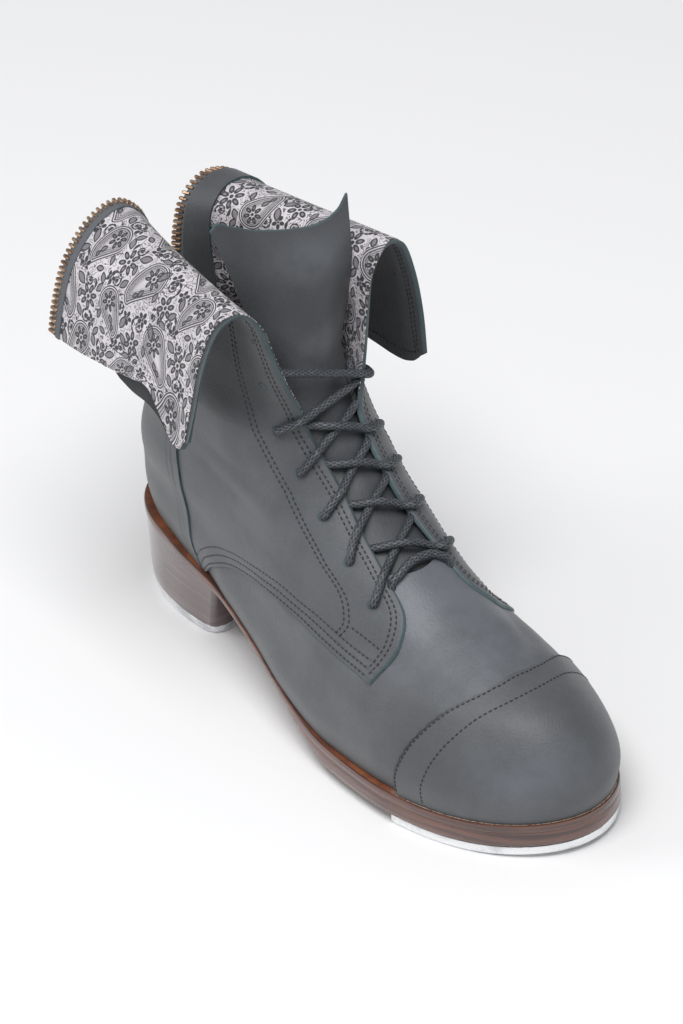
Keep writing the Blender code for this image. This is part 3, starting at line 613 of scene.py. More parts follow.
def add_sheet(name, outer, inner, materials, values=None, weld=False):
    """Leather panel from two grids, with attribute grids copied to face and back."""
    points, quads, part = two_faced(outer, inner)
    both = {key: np.tile(grid.reshape(-1), 2) for key, grid in (values or {}).items()}
    return add_piece(name, points, quads, materials, part, values=both, weld=weld)


print("quads in a 3 by 4 grid:", len(grid_quads(3, 4)))

# %% [markdown]
# ## Grain, streaks and scuffs as node groups
# Three effects come back on many pieces: the fine nap of brushed leather, the long fibres on a cut
# and burnished sole edge, and soft cloudy wear. Each is a node group with its own scale, so a
# material only chooses how much of it shows. Object coordinates keep them fixed to the boot.

# %% Node tools


def set_inputs(made, values):
    """Input values by socket name, with its spaces written as underscores."""
    for key, value in values.items():
        made.inputs[key.replace("_", " ")].default_value = value


def node(tree, kind, **values):
    """New node with its input values set."""
    made = tree.nodes.new(kind)
    set_inputs(made, values)
    return made


def new_group(name, inputs, outputs):
    """Empty shader group with named number sockets, and its two end nodes."""
    group = bpy.data.node_groups.new(name, "ShaderNodeTree")
    for socket, value in inputs.items():
        made = group.interface.new_socket(socket, in_out="INPUT", socket_type="NodeSocketFloat")
        made.default_value = value
    for socket in outputs:
        group.interface.new_socket(socket, in_out="OUTPUT", socket_type="NodeSocketFloat")
    start = group.nodes.new("NodeGroupInput")
    end = group.nodes.new("NodeGroupOutput")
    return group, start, end


def maths(tree, operation, first, second):
    """Math node on sockets or numbers."""
    made = tree.nodes.new("ShaderNodeMath")
    made.operation = operation
    for i, value in enumerate((first, second)):
        if isinstance(value, (int, float)):
            made.inputs[i].default_value = value
        else:
            tree.links.new(value, made.inputs[i])
    return made.outputs[0]


def times(tree, first, second):
    """Product of two sockets or numbers."""
    return maths(tree, "MULTIPLY", first, second)


def plus(tree, first, second):
    """Sum of two sockets or numbers."""
    return maths(tree, "ADD", first, second)


def minus(tree, first, second):
    """Difference of two sockets or numbers."""
    return maths(tree, "SUBTRACT", first, second)


def noise(tree, vector, scale, detail=3.0, roughness=0.55):
    """Noise texture on a vector; scale is a number or a socket, in waves a metre."""
    made = node(tree, "ShaderNodeTexNoise", Detail=detail, Roughness=roughness)
    tree.links.new(vector, made.inputs["Vector"])
    if isinstance(scale, (int, float)):
        made.inputs["Scale"].default_value = scale
    else:
        tree.links.new(scale, made.inputs["Scale"])
    return made.outputs["Fac"]


def object_place(tree):
    """Place on the object itself, in metres."""
    return tree.nodes.new("ShaderNodeTexCoord").outputs["Object"]


def ramp(tree, value, low, high, to_low=0.0, to_high=1.0):
    """Smooth map of a value from low..high to new limits."""
    made = node(tree, "ShaderNodeMapRange", From_Min=low, From_Max=high, To_Min=to_low, To_Max=to_high)
    made.interpolation_type = "SMOOTHSTEP"
    tree.links.new(value, made.inputs["Value"])
    return made.outputs["Result"]


def mix_colours(tree, mask, first, second):
    """Colour mix; each colour is a tuple or a socket."""
    made = tree.nodes.new("ShaderNodeMix")
    made.data_type = "RGBA"
    tree.links.new(mask, made.inputs["Factor"])
    for key, value in (("A", first), ("B", second)):
        socket = [s for s in made.inputs if s.name == key and s.type == "RGBA"][0]
        if isinstance(value, tuple):
            socket.default_value = (*value, 1.0)
        else:
            tree.links.new(value, socket)
    return [s for s in made.outputs if s.type == "RGBA"][0]


print("node tools ready")

# %% Shared effects


def make_nap_group():
    """Brushed leather: cloudy shade, short fibres as height, and tiny pores."""
    group, start, end = new_group("brushed_nap", {"Cloud Scale": 38.0, "Fibre Scale": 900.0},
                                  ("Cloud", "Fibre", "Pore"))
    place = object_place(group)
    cloud = noise(group, place, start.outputs["Cloud Scale"], 4.0, 0.6)
    fibre = noise(group, place, start.outputs["Fibre Scale"], 4.0, 0.65)
    pores = group.nodes.new("ShaderNodeTexVoronoi")
    group.links.new(place, pores.inputs["Vector"])
    group.links.new(start.outputs["Fibre Scale"], pores.inputs["Scale"])
    group.links.new(ramp(group, cloud, 0.33, 0.68), end.inputs["Cloud"])
    group.links.new(fibre, end.inputs["Fibre"])
    group.links.new(ramp(group, pores.outputs["Distance"], 0.05, 0.5), end.inputs["Pore"])
    return group


def make_streak_group():
    """Cut sole leather: noise drawn out along the boot and squeezed across the layers."""
    group, start, end = new_group("layer_streaks", {"Along": 25.0, "Across": 700.0}, ("Streak", "Blotch"))
    place = object_place(group)
    scale = group.nodes.new("ShaderNodeCombineXYZ")
    group.links.new(start.outputs["Along"], scale.inputs["X"])
    group.links.new(start.outputs["Along"], scale.inputs["Y"])
    group.links.new(start.outputs["Across"], scale.inputs["Z"])
    drawn = group.nodes.new("ShaderNodeVectorMath")
    drawn.operation = "MULTIPLY"
    group.links.new(place, drawn.inputs[0])
    group.links.new(scale.outputs["Vector"], drawn.inputs[1])
    streak = noise(group, drawn.outputs["Vector"], 1.0, 4.0, 0.6)
    blotch = noise(group, place, start.outputs["Along"], 3.0, 0.6)
    group.links.new(ramp(group, streak, 0.35, 0.68), end.inputs["Streak"])
    group.links.new(ramp(group, blotch, 0.35, 0.65), end.inputs["Blotch"])
    return group


def make_scuff_group():
    """Rubbed places: sparse patches broken up by fine noise."""
    group, start, end = new_group("soft_scuffs", {"Patch Scale": 55.0, "Amount": 0.5}, ("Scuff",))
    place = object_place(group)
    patch = noise(group, place, start.outputs["Patch Scale"], 2.0, 0.5)
    broken = noise(group, place, 420.0, 5.0, 0.7)
    level = plus(group, patch, times(group, broken, 0.35))
    limit = minus(group, 1.05, times(group, start.outputs["Amount"], 0.5))
    over = minus(group, level, limit)
    group.links.new(ramp(group, over, -0.08, 0.12), end.inputs["Scuff"])
    return group


nap_group = make_nap_group()
streak_group = make_streak_group()
scuff_group = make_scuff_group()
print("groups:", [g.name for g in (nap_group, streak_group, scuff_group)])

# %% [markdown]
# ## Materials
# The Principled shader stays in the material itself, and the groups only feed it masks and heights.
# Values that are the same all over, such as sheen, are set on the shader's own sockets.

# %% Material tools


def new_material(name, **values):
    """Material with a Principled shader and its constants; returns it with its node tree and shader."""
    material = bpy.data.materials.new(name)
    material.use_nodes = True
    tree = material.node_tree
    shader = tree.nodes["Principled BSDF"]
    set_inputs(shader, values)
    return material, tree, shader


def use_group(tree, group, **values):
    """Outputs of a group node whose inputs are set."""
    made = tree.nodes.new("ShaderNodeGroup")
    made.node_tree = group
    set_inputs(made, values)
    return made.outputs


def add_bump(tree, shader, height, distance, strength):
    """Bump from a height socket, with its distance in metres."""
    bump = node(tree, "ShaderNodeBump", Strength=strength, Distance=distance)
    tree.links.new(height, bump.inputs["Height"])
    tree.links.new(bump.outputs["Normal"], shader.inputs["Normal"])


def attribute_value(tree, name):
    """Number stored on the mesh's points."""
    made = tree.nodes.new("ShaderNodeAttribute")
    made.attribute_name = name
    return made.outputs["Fac"]


def two_tone(name, scales, key, dark, light, grain=None, **values):
    """Plain finish: dark to light by one output of the nap, with its fibres as bump where grain is given."""
    material, tree, shader = new_material(name, **values)
    nap = use_group(tree, nap_group, Cloud_Scale=scales[0], Fibre_Scale=scales[1])
    tree.links.new(mix_colours(tree, nap[key], dark, light), shader.inputs["Base Color"])
    if grain:
        add_bump(tree, shader, nap["Fibre"], *grain)
    return material


print("material tools ready")

# %% [markdown]
# ## Slate leather
# The upper is a brushed, slate-grey leather: matt, with soft cloudy shade and a short nap. Where it
# wears, as on the toe, it turns lighter and bluer and takes a slight polish; the same lighter colour is
# also painted on as a highlight, on the top of the vamp and the crests of the tongue. One attribute says
# where that wear and painted highlight lie, "raw" says where a cut edge shows its teal dye, and "dark"
# says where painted shade lies in seams, creases and folds.

# %% Leather materials
SLATE_DARK = (0.058, 0.062, 0.069)
SLATE = (0.104, 0.109, 0.118)
# lighter, bluer colour of wear, also used for the painted highlight
SLATE_WEAR_AND_HIGHLIGHT = (0.17, 0.185, 0.21)
SLATE_SHADE = (0.016, 0.018, 0.021)
TEAL_DARK = (0.030, 0.053, 0.061)
TEAL = (0.086, 0.140, 0.150)


def slate_leather(name, darker=1.0):
    """Brushed leather with cloud, nap and polish from wear, lightened further by a painted highlight and
    darkened by painted shade at seams.
    """
    material, tree, shader = new_material(name, Roughness=0.7, Sheen_Weight=0.12, Sheen_Roughness=0.5)
    nap = use_group(tree, nap_group, Cloud_Scale=42.0, Fibre_Scale=850.0)
    scuff = use_group(tree, scuff_group, Patch_Scale=48.0, Amount=0.35)["Scuff"]
    low = tuple(c * darker for c in SLATE_DARK)
    high = tuple(c * darker for c in SLATE)
    tone = plus(tree, times(tree, nap["Cloud"], 0.38), times(tree, nap["Fibre"], 0.66))
    colour = mix_colours(tree, tone, low, high)
    # wear and painted highlight share one mask and lighten to the same colour
    uneven = plus(tree, 0.45, times(tree, nap["Cloud"], 0.55))
    wear_and_highlight = times(tree, attribute_value(tree, "wear_and_highlight"), uneven)
    lightened = maths(tree, "MAXIMUM", wear_and_highlight, times(tree, scuff, 0.18))
    colour = mix_colours(tree, lightened, colour, SLATE_WEAR_AND_HIGHLIGHT)
    teal = mix_colours(tree, tone, TEAL_DARK, TEAL)
    colour = mix_colours(tree, attribute_value(tree, "raw"), colour, teal)
    # painted shade: the dark attribute darkens the colour and lowers the shine where seams and folds would be
    # in shade
    shade = attribute_value(tree, "dark")
    colour = mix_colours(tree, shade, colour, SLATE_SHADE)
    tree.links.new(colour, shader.inputs["Base Color"])
    tree.links.new(ramp(tree, shade, 0.2, 0.8, 0.5, 0.1), shader.inputs["Specular IOR Level"])
    tree.links.new(ramp(tree, lightened, 0.0, 1.0, 0.5, 0.42), shader.inputs["Roughness"])
    height = plus(tree, nap["Fibre"], times(tree, nap["Pore"], 0.35))
    add_bump(tree, shader, height, 0.00022, 0.6)
    return material


def raw_edge(name):
    """Cut edge of the leather: dyed teal, fibrous and uneven."""
    material, tree, shader = new_material(name, Roughness=0.8)
    nap = use_group(tree, nap_group, Cloud_Scale=160.0, Fibre_Scale=1400.0)
    tone = plus(tree, times(tree, nap["Cloud"], 0.6), times(tree, nap["Fibre"], 0.4))
    tree.links.new(mix_colours(tree, tone, TEAL_DARK, TEAL), shader.inputs["Base Color"])
    add_bump(tree, shader, nap["Fibre"], 0.0003, 0.7)
    return material


leather = slate_leather("slate_leather")
tongue_leather = slate_leather("tongue_leather", 0.62)
flesh_side = slate_leather("leather_flesh_side", 0.55)
teal_edge = raw_edge("teal_raw_edge")
panel_finish = (leather, flesh_side, teal_edge)     # face, back and cut edge of a panel
print("leathers:", leather.name, tongue_leather.name, teal_edge.name)

# %% [markdown]
# ## Vamp
# The vamp is the front of the upper, lasted down to the welt and running back under the quarters.
# It could be sculpted, but as a function of the angle round the foot and the level it follows the
# last exactly. Its back part is hidden, so it only reaches as far as the quarter covers it.

# %% Vamp
VAMP_BACK = 46.0
VAMP_WALL = 2.0
VAMP_ROWS = 72
VAMP_COLUMNS = 330
VAMP_TOP_HIGHLIGHT = 0.58        # how much painted highlight lightens the top of the vamp above the toe
# Rubbed patch on the toe: its middle and its reach in x, y and z, in mm
TOE_RUB_MIDDLE = (258.0, -8.0, 36.0)
TOE_RUB_REACH = (15.0, 26.0, 11.0)
TOE_RUB = 0.7
# Soft troughs across the vamp where the foot bends: x at the ridge, x lower down, depth and width
VAMP_CREASES = table("x_ridge x_side depth width", [
    (203.0, 193.0, 0.32, 4.6),
    (212.0, 203.0, 0.22, 3.8),
    (221.0, 214.0, 0.12, 3.4),
])


def grid_normals(points):
    """Unit normals of a grid: change along the columns cross change along the rows."""
    return unit(np.cross(np.gradient(points, axis=1), np.gradient(points, axis=0)))


def above_sole(points, clear=0.05):
    """Keeps leather that turns in at the feather line clear of the sole's rim."""
    points = points.copy()
    points[..., 2] = np.maximum(points[..., 2], rim_top(points[..., 0]) + clear)
    return points


def loop_columns(v, x_start, count):
    """Angles round each level from x_start on the outer side over the ridge to the inner side."""
    row = level_row(v)
    start = loop_angle(np.full_like(v, x_start), row)
    part = np.linspace(0.0, 1.0, count)
    return start[:, None] + (2.0 * math.pi - 2.0 * start)[:, None] * part


def crease_depth(points, creases, across):
    """Sum of soft troughs: depth times a bell of the distance to a line that slants with across."""
    depth = np.zeros(points.shape[:2])
    for crease in table_rows(creases):
        middle = crease["x_ridge"] + (crease["x_side"] - crease["x_ridge"]) * across
        bell = np.exp(-((points[..., 0] - middle) / crease["width"]) ** 2)
        depth = depth + crease["depth"] * bell * (1.0 - ease(across, 0.35, 1.0))
    return depth


def toe_wear(points):
    """Rubbed patch over the toe: a bell round one place on the outer front, drawn out along the edge."""
    off = (points - TOE_RUB_MIDDLE) / TOE_RUB_REACH
    return TOE_RUB * np.exp(-np.sum(off ** 2, axis=-1))


def vamp_grid():
    """Vamp face and back, with wear, painted highlight and painted shade as attributes."""
    v = np.linspace(0.0, THROAT_LEVEL, VAMP_ROWS)
    angle = loop_columns(v, VAMP_BACK, VAMP_COLUMNS)
    level = np.repeat(v[:, None], VAMP_COLUMNS, axis=1)
    points = foot_loop(angle, level)
    normal = grid_normals(points)
    across = np.abs(angle - math.pi) / math.pi * 2.0
    points = points - normal * crease_depth(points, VAMP_CREASES, across)[..., None]
    inner = points - normal * VAMP_WALL
    # The toe's patch is real wear; the rise with the level paints a highlight on the vamp's top, and the last
    # line paints shade along the feather line at the sole.
    values = {"wear_and_highlight": toe_wear(points) * 0.6 + VAMP_TOP_HIGHLIGHT * ease(level, 2.4, 5.0),
              "dark": 0.55 * (1.0 - ease(level, 0.0, 0.35))}
    return above_sole(points), above_sole(inner), values


outer, inner, values = vamp_grid()
vamp = add_sheet("vamp", outer, inner, panel_finish, values)
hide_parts("upper")
print("vamp quads:", len(vamp.data.polygons))

# %% [markdown]
# ## Quarters
# Each quarter wraps the heel and ankle, overlaps the vamp with its wing, and goes up into the shaft,
# which is folded outwards here. The leather is about two millimetres thick, so its teal cut edge
# shows all along the throat and the fold. That edge is rounded over: a few rows of points run on past
# the panel and sink, and carry the attribute "raw". Creases are soft troughs in the shoe's own sizes.

# %% Quarters
QUARTER_STEP = 1.2
LEATHER_BACK = 0.7
QUARTER_COLUMNS = 112
FOOT_ROWS = 54
SEAM_ROWS = 34
SEAM_BAND = 1.6         # levels above the lower edge that the sewn band takes
FOLD_ROWS = 92
QUARTER_EDGE = table("x level", [
    (0.0, -3.0), (52.0, -2.2), (60.0, -1.4), (68.0, -0.6), (76.0, 0.22), (84.0, 0.92), (92.0, 1.56),
    (100.0, 2.2), (110.0, 2.9), (122.0, 3.48), (136.0, 3.7), (152.0, 3.6), (170.0, 3.4), (189.0, 3.1),
    (230.0, 2.5), (275.0, 2.1),
])
# Levels from the lower edge up to the highest of its stitch rows
ROW_RISE = table("along levels", [
    (0.48, 1.15), (0.54, 0.98), (0.60, 1.02), (0.66, 1.38), (0.72, 1.32), (0.78, 0.96), (0.84, 0.87),
    (0.90, 0.68), (0.96, 0.60), (1.02, 0.62),
])
# Cut edges: how far each extra row runs past the panel, how much of the step it has lost, and its dye
THROAT_RIM = table("out sunk raw", [
    (0.6, 0.0, 0.0), (0.95, 0.05, 0.3), (1.25, 0.15, 1.0), (1.6, 0.4, 1.0), (1.95, 0.7, 1.0), (2.2, 1.0, 1.0),
])
LOWER_RIM = table("out sunk raw", [(0.25, 0.06, 0.2), (0.6, 0.3, 0.8), (0.9, 0.65, 0.9), (1.05, 1.0, 0.9)])
LOWER_ROWS = (0.13, 0.52, 1.0)      # place of each stitch row between the lower edge and the highest row
ROW_GROOVE = 0.2
GROOVE_WIDTH = 0.55
SEAM_LOWEST = 0.08
UNDER_STAY = 0.9        # mm that the quarter is thinned where the backstay covers it
LOW_BACK = 0.05         # where the panel's back lies on the foot, before the throat
FOLD_SHADE = 0.62       # how much painted shade darkens the leather that the fold shelters
# Troughs on the ankle: along and level of both ends, depth and width in mm
ANKLE_CREASES = table("a0 v0 a1 v1 depth width", [
    (0.52, 9.3, 0.80, 8.1, 0.34, 3.6),
    (0.46, 8.2, 0.70, 7.2, 0.25, 3.2),
    (0.55, 6.4, 0.78, 5.6, 0.18, 4.0),
    (0.20, 9.8, 0.42, 10.4, 0.35, 3.2),
])
MM_PER_ALONG = 140.0
MM_PER_LEVEL = 9.0
LEATHER_EDGE = {LATERAL: "leather", MEDIAL: "medial"}       # column of the free edge that the leather follows


def seam_level(a):
    """Level of the quarter's curved lower line for each column; behind the arch it runs below the sole."""
    x = foot_x(a, np.full_like(a, WING_LEVEL))
    return smooth_lookup(x, QUARTER_EDGE["x"], QUARTER_EDGE["level"])


def quarter_level(a):
    """Level of the panel's lower edge: the curved line, but never below the sole."""
    return np.maximum(seam_level(a), SEAM_LOWEST)


def ankle_troughs(a, v):
    """Sum of troughs: depth times a bell of the distance to each short line, faded at its ends."""
    total = np.zeros_like(a)
    for c in table_rows(ANKLE_CREASES):
        run = np.array([(c["a1"] - c["a0"]) * MM_PER_ALONG, (c["v1"] - c["v0"]) * MM_PER_LEVEL])
        x = (a - c["a0"]) * MM_PER_ALONG
        y = (v - c["v0"]) * MM_PER_LEVEL
        length = np.linalg.norm(run)
        along = (x * run[0] + y * run[1]) / length ** 2
        off = (x * run[1] - y * run[0]) / length
        fade = band(along, -0.15, 0.3, 0.7, 1.15)
        total = total + c["depth"] * fade * np.exp(-(off / c["width"]) ** 2)
    return total


def quarter_levels(a):
    """Levels of all rows for each column: fine steps up the sewn band, then even ones over the fold."""
    low = quarter_level(a)[None, :]
    sewn = low + SEAM_BAND * np.linspace(0.0, 1.0, SEAM_ROWS)[:, None]
    foot = sewn[-1:] + (COLLAR_LEVEL - sewn[-1:]) * np.linspace(0.0, 1.0, FOOT_ROWS)[1:, None]
    fold = np.linspace(COLLAR_LEVEL, TOP_LEVEL, FOLD_ROWS)[1:]
    return np.vstack([sewn, foot, np.repeat(fold[:, None], len(a), axis=1)])


def row_level(a, part):
    """Level of a stitch row: the lower line plus its part of the rise."""
    return seam_level(a) + part * smooth_lookup(a, ROW_RISE["along"], ROW_RISE["levels"])


def mm_up(a, side):
    """Millimetres for one level at the quarter's lower edge."""
    _, up = upper_steps(a, quarter_level(a) + 0.2, side)
    return np.linalg.norm(up, axis=-1)


def row_grooves(a, v, side):
    """Sum of narrow bells that the stitch rows press into the leather: 1 on a row, 0 away from it."""
    scale = mm_up(a, side) / GROOVE_WIDTH
    return sum(np.exp(-((v - row_level(a, part)) * scale) ** 2) for part in LOWER_ROWS)


def add_rim(grids, rim, axis):
    """Runs the panel on past its last column (axis 1) or first row (axis 0) and sinks it to its back.

    New point = edge point + run direction times out; new lift = lift + (back - lift) times sunk.
    """
    turn = (lambda g: g) if axis == 1 else (lambda g: np.swapaxes(g[::-1], 0, 1))
    back_turn = (lambda g: g) if axis == 1 else (lambda g: np.swapaxes(g, 0, 1)[::-1])
    g = {key: turn(grid) for key, grid in grids.items()}
    run = unit(g["point"][:, -1] - g["point"][:, -2])[:, None, :]
    more = {key: np.repeat(grid[:, -1:], len(rim["out"]), axis=1) for key, grid in g.items()}
    more["point"] = more["point"] + run * (rim["out"] * more["wide"])[..., None]
    more["lift"] = more["lift"] + (more["back"] + 0.03 - more["lift"]) * rim["sunk"]
    more["raw"] = np.maximum(more["raw"], rim["raw"][None, :])
    return {key: back_turn(np.concatenate([g[key], more[key]], axis=1)) for key in g}


def quarter_grid(side):
    """Leather face and back of one quarter and shaft half."""
    a = np.linspace(0.0, 1.0, QUARTER_COLUMNS)
    v = quarter_levels(a)
    aa = np.repeat(a[None, :], len(v), axis=0)
    edge_name = LEATHER_EDGE[side]
    trough = ankle_troughs(aa, v)
    groove = row_grooves(a, v, side)
    point = upper_point(aa, v, side, edge_name)
    under_stay = (1.0 - ease(v, 0.4, 2.2)) * (1.0 - ease(point[..., 0], 50.0, 58.0))
    # painted shade under the fold, less towards the front edge
    sheltered = FOLD_SHADE * ease(v, 10.2, 12.5) * (1.0 - 0.5 * ease(aa, 0.85, 1.0))
    grids = {
        "point": point,
        "normal": upper_normal(aa, v, side, edge_name),
        "lift": QUARTER_STEP - trough - ROW_GROOVE * groove - UNDER_STAY * under_stay,
        "wide": 0.7 + 0.3 * ease(v, 3.5, 4.5),
        "back": LOW_BACK - (LOW_BACK + LEATHER_BACK) * ease(v, THROAT_LEVEL - 0.5, THROAT_LEVEL + 1.5),
        "raw": np.zeros_like(v),
        "wear_and_highlight": 0.10 * band(v, 5.0, 8.0, 8.0, 11.0),
        # painted shade in the ankle creases and the stitch grooves, and under the fold
        "dark": 0.3 * trough + 0.3 * groove + sheltered,
    }
    grids = add_rim(add_rim(grids, THROAT_RIM, 1), LOWER_RIM, 0)
    outer = grids["point"] + grids["normal"] * grids["lift"][..., None]
    inner = grids["point"] + grids["normal"] * grids["back"][..., None]
    values = {key: grids[key] for key in ("wear_and_highlight", "dark", "raw")}
    return above_sole(outer, 0.3), above_sole(inner, 0.15), values


for side in (LATERAL, MEDIAL):
    outer, inner, values = quarter_grid(side)
    name = "quarter_" + SIDE_NAMES[side]
    quarter = add_sheet(name, outer, inner, panel_finish, values)
    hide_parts("upper")
    print(name, "quads:", len(quarter.data.polygons))

# %% [markdown]
# ## Damask lining
# The shaft is lined with a silver jacquard whose dark flourishes show on both folded halves. A
# picture would be the quick way, but the figures here are worked out: drops, flowers, leaves and
# tendrils on a half-drop repeat. Only the distance to each figure is stored on the points. It changes
# smoothly, so the shader can draw fine lines at chosen distances, finer than the mesh itself.

# %% Damask figures
REPEAT_WIDE = 33.0
REPEAT_TALL = 44.0
DAMASK_START = (9.0, 14.0)      # mm across and along the repeat at the lining's first corner
DROPS = table("x y hook size", [(-5.0, -6.2, 1.0, 0.78), (7.0, 12.0, -0.85, 0.68)])
FLOWERS = table("x y petals size", [
    (-8.9, -14.6, 8, 5.2), (9.9, 4.4, 7, 4.6), (9.4, -13.4, 7, 5.8), (-9.6, 13.6, 6, 5.4),
    (14.4, -4.5, 5, 3.2), (-13.4, 1.6, 5, 3.4), (1.0, 20.0, 5, 3.4), (-3.6, 5.2, 5, 3.2),
])
LEAVES = table("x y angle length", [
    (2.2, -18.6, 0.5, 7.0), (15.0, -20.0, 2.2, 6.0), (-13.0, -18.6, 1.0, 7.0), (-1.6, 8.2, 1.2, 6.5),
    (-3.6, 14.6, 2.4, 6.0), (14.6, 20.0, 1.0, 5.5), (5.4, -5.4, 0.9, 6.0), (-15.0, -9.0, 1.4, 5.5),
    (-7.4, 20.4, 0.3, 6.0), (14.6, 12.0, 1.4, 5.0), (3.6, -12.4, 1.7, 5.0), (-6.2, -6.6, 1.1, 4.6),
    (-3.6, -4.6, 0.8, 4.0), (6.6, 10.6, 2.2, 4.4), (4.8, 13.6, 1.9, 3.6), (10.4, 17.6, 2.8, 5.0),
])
TENDRILS = table("x y turn size", [
    (10.6, -4.6, 1.0, 5.6), (-3.4, 18.6, -1.0, 5.4), (-14.0, -14.0, -1.0, 5.6), (7.8, -20.2, 1.0, 4.8),
    (-14.6, 20.0, 1.0, 5.0), (2.6, 3.2, -1.0, 5.2), (14.5, 8.0, -1.0, 5.0), (-12.0, 5.0, 1.0, 5.0),
])


def drop_distance(x, y, hook, size):
    """Distance to a bent drop: the least distance to circles that shrink along a curling spine."""
    best = np.full_like(x, 1e3)
    for q in np.linspace(0.0, 1.0, 18):
        cx = hook * size * (-5.0 + 11.0 * math.sin(1.9 * q))
        cy = size * (-11.0 + 26.0 * q - 7.0 * q * q)
        radius = size * (8.6 * (1.0 - q) ** 0.8 + 0.7)
        best = np.minimum(best, np.hypot(x - cx, y - cy) - radius)
    return best


def flower_distance(x, y, petals, size):
    """Distance to a ring of petals round an eye: each petal is an ellipse turned to its own angle."""
    r = np.hypot(x, y)
    angle = ((np.arctan2(y, x) * petals / (2.0 * math.pi)) % 1.0 - 0.5) * 2.0 * math.pi / petals
    along = (r * np.cos(angle) - 0.62 * size) / 0.36
    across = r * np.sin(angle) * petals / 1.36
    return np.minimum(0.22 * (np.hypot(along, across) - size), r - 0.15 * size)


def leaf_distance(x, y, angle, length):
    """Distance to a pointed leaf: its half-width is a parabola along the rib."""
    along = x * math.cos(angle) + y * math.sin(angle)
    across = -x * math.sin(angle) + y * math.cos(angle)
    return np.abs(across) - 0.28 * length * (1.0 - (2.0 * along / length) ** 2)


def tendril_distance(x, y, turn, size):
    """Distance to a spiral whose angle follows the logarithm of the radius and whose band swells in lobes."""
    r = np.hypot(x, y) + 1e-6
    angle = np.arctan2(y, x) * turn
    wave = (angle / (2.0 * math.pi) - np.log(r) / 0.95) % 1.0 - 0.5
    band = 0.13 * r * np.abs(np.cos(3.5 * angle)) + 0.15
    return np.maximum(np.abs(wave) * r * 0.95 - band, r - size)


def nearest(distance, motifs, x, y):
    """Least distance to all the motifs of a table, each moved to its own place."""
    rows = table_rows(motifs)
    return np.minimum.reduce([distance(x - row.pop("x"), y - row.pop("y"), **row) for row in rows])


def damask_fields(s, t):
    """Distances in mm at s across and t along: to drops, to flowers and leaves, and to tendrils."""
    column = np.floor(s / REPEAT_WIDE)
    even = column % 2 == 0
    x = (s - (column + 0.5) * REPEAT_WIDE) * np.where(even, 1.0, -1.0)
    y = (t + np.where(even, 0.0, REPEAT_TALL / 2)) % REPEAT_TALL - REPEAT_TALL / 2
    bloom = np.minimum(nearest(flower_distance, FLOWERS, x, y), nearest(leaf_distance, LEAVES, x, y))
    fields = {"drop": nearest(drop_distance, DROPS, x, y), "bloom": bloom,
              "tendril": nearest(tendril_distance, TENDRILS, x, y)}
    return {key: np.clip(field, -9.0, 3.0) for key, field in fields.items()}


grid_s, grid_t = np.meshgrid(np.linspace(0, 66, 300), np.linspace(0, 44, 200))
sample = damask_fields(grid_s, grid_t)
inside = np.minimum(sample["drop"], sample["bloom"]) < 0.0
print("part of the lining inside figures:", round(float(inside.mean()), 2))

# %% Lining material


def line_at(tree, value, centre, half, soft=0.16):
    """1 on a line where the value is near its centre, with a soft edge."""
    off = maths(tree, "ABSOLUTE", minus(tree, value, centre), 0.0)
    return ramp(tree, off, half, half + soft, 1.0, 0.0)


def highest(tree, values):
    """Greatest of several sockets."""
    best = values[0]
    for value in values[1:]:
        best = maths(tree, "MAXIMUM", best, value)
    return best


def make_damask_group():
    """Dark thread of the damask: outlines, hatching that follows them, and small curls in between."""
    group, start, end = new_group("damask_thread", {"Drop": 3.0, "Bloom": 3.0, "Tendril": 3.0}, ("Figure",))
    place = object_place(group)
    drop, bloom, tendril = (start.outputs[key] for key in ("Drop", "Bloom", "Tendril"))
    waver = times(group, minus(group, noise(group, place, 900.0, 2.0), 0.5), 0.9)
    curls = maths(group, "PINGPONG", times(group, noise(group, place, 300.0, 1.0), 7.0), 0.5)
    hatch = maths(group, "PINGPONG", plus(group, drop, waver), 0.4)
    hatch = plus(group, 0.3, times(group, ramp(group, hatch, 0.1, 0.24), 0.5))
    border = times(group, ramp(group, drop, -0.9, -1.1), ramp(group, drop, -5.2, -2.6))
    vein = minus(group, 1.0, times(group, ramp(group, bloom, -0.5, -0.8), 0.3))
    petal = times(group, ramp(group, bloom, 0.14, -0.06), vein)
    clear = maths(group, "MINIMUM", minus(group, drop, 1.0), minus(group, bloom, 0.5))
    filler = times(group, ramp(group, curls, 0.2, 0.1), ramp(group, clear, 0.0, 0.3))
    acanthus = times(group, ramp(group, tendril, 0.18, -0.04), ramp(group, clear, -0.6, -0.3))
    beads = times(group, line_at(group, drop, 0.75, 0.14), ramp(group, waver, 0.0, 0.12))
    lines = [line_at(group, drop, 0.0, 0.2), line_at(group, drop, -0.95, 0.12), beads]
    fillings = [times(group, hatch, border), petal, acanthus, times(group, filler, 0.85)]
    group.links.new(highest(group, lines + fillings), end.inputs["Figure"])
    return group


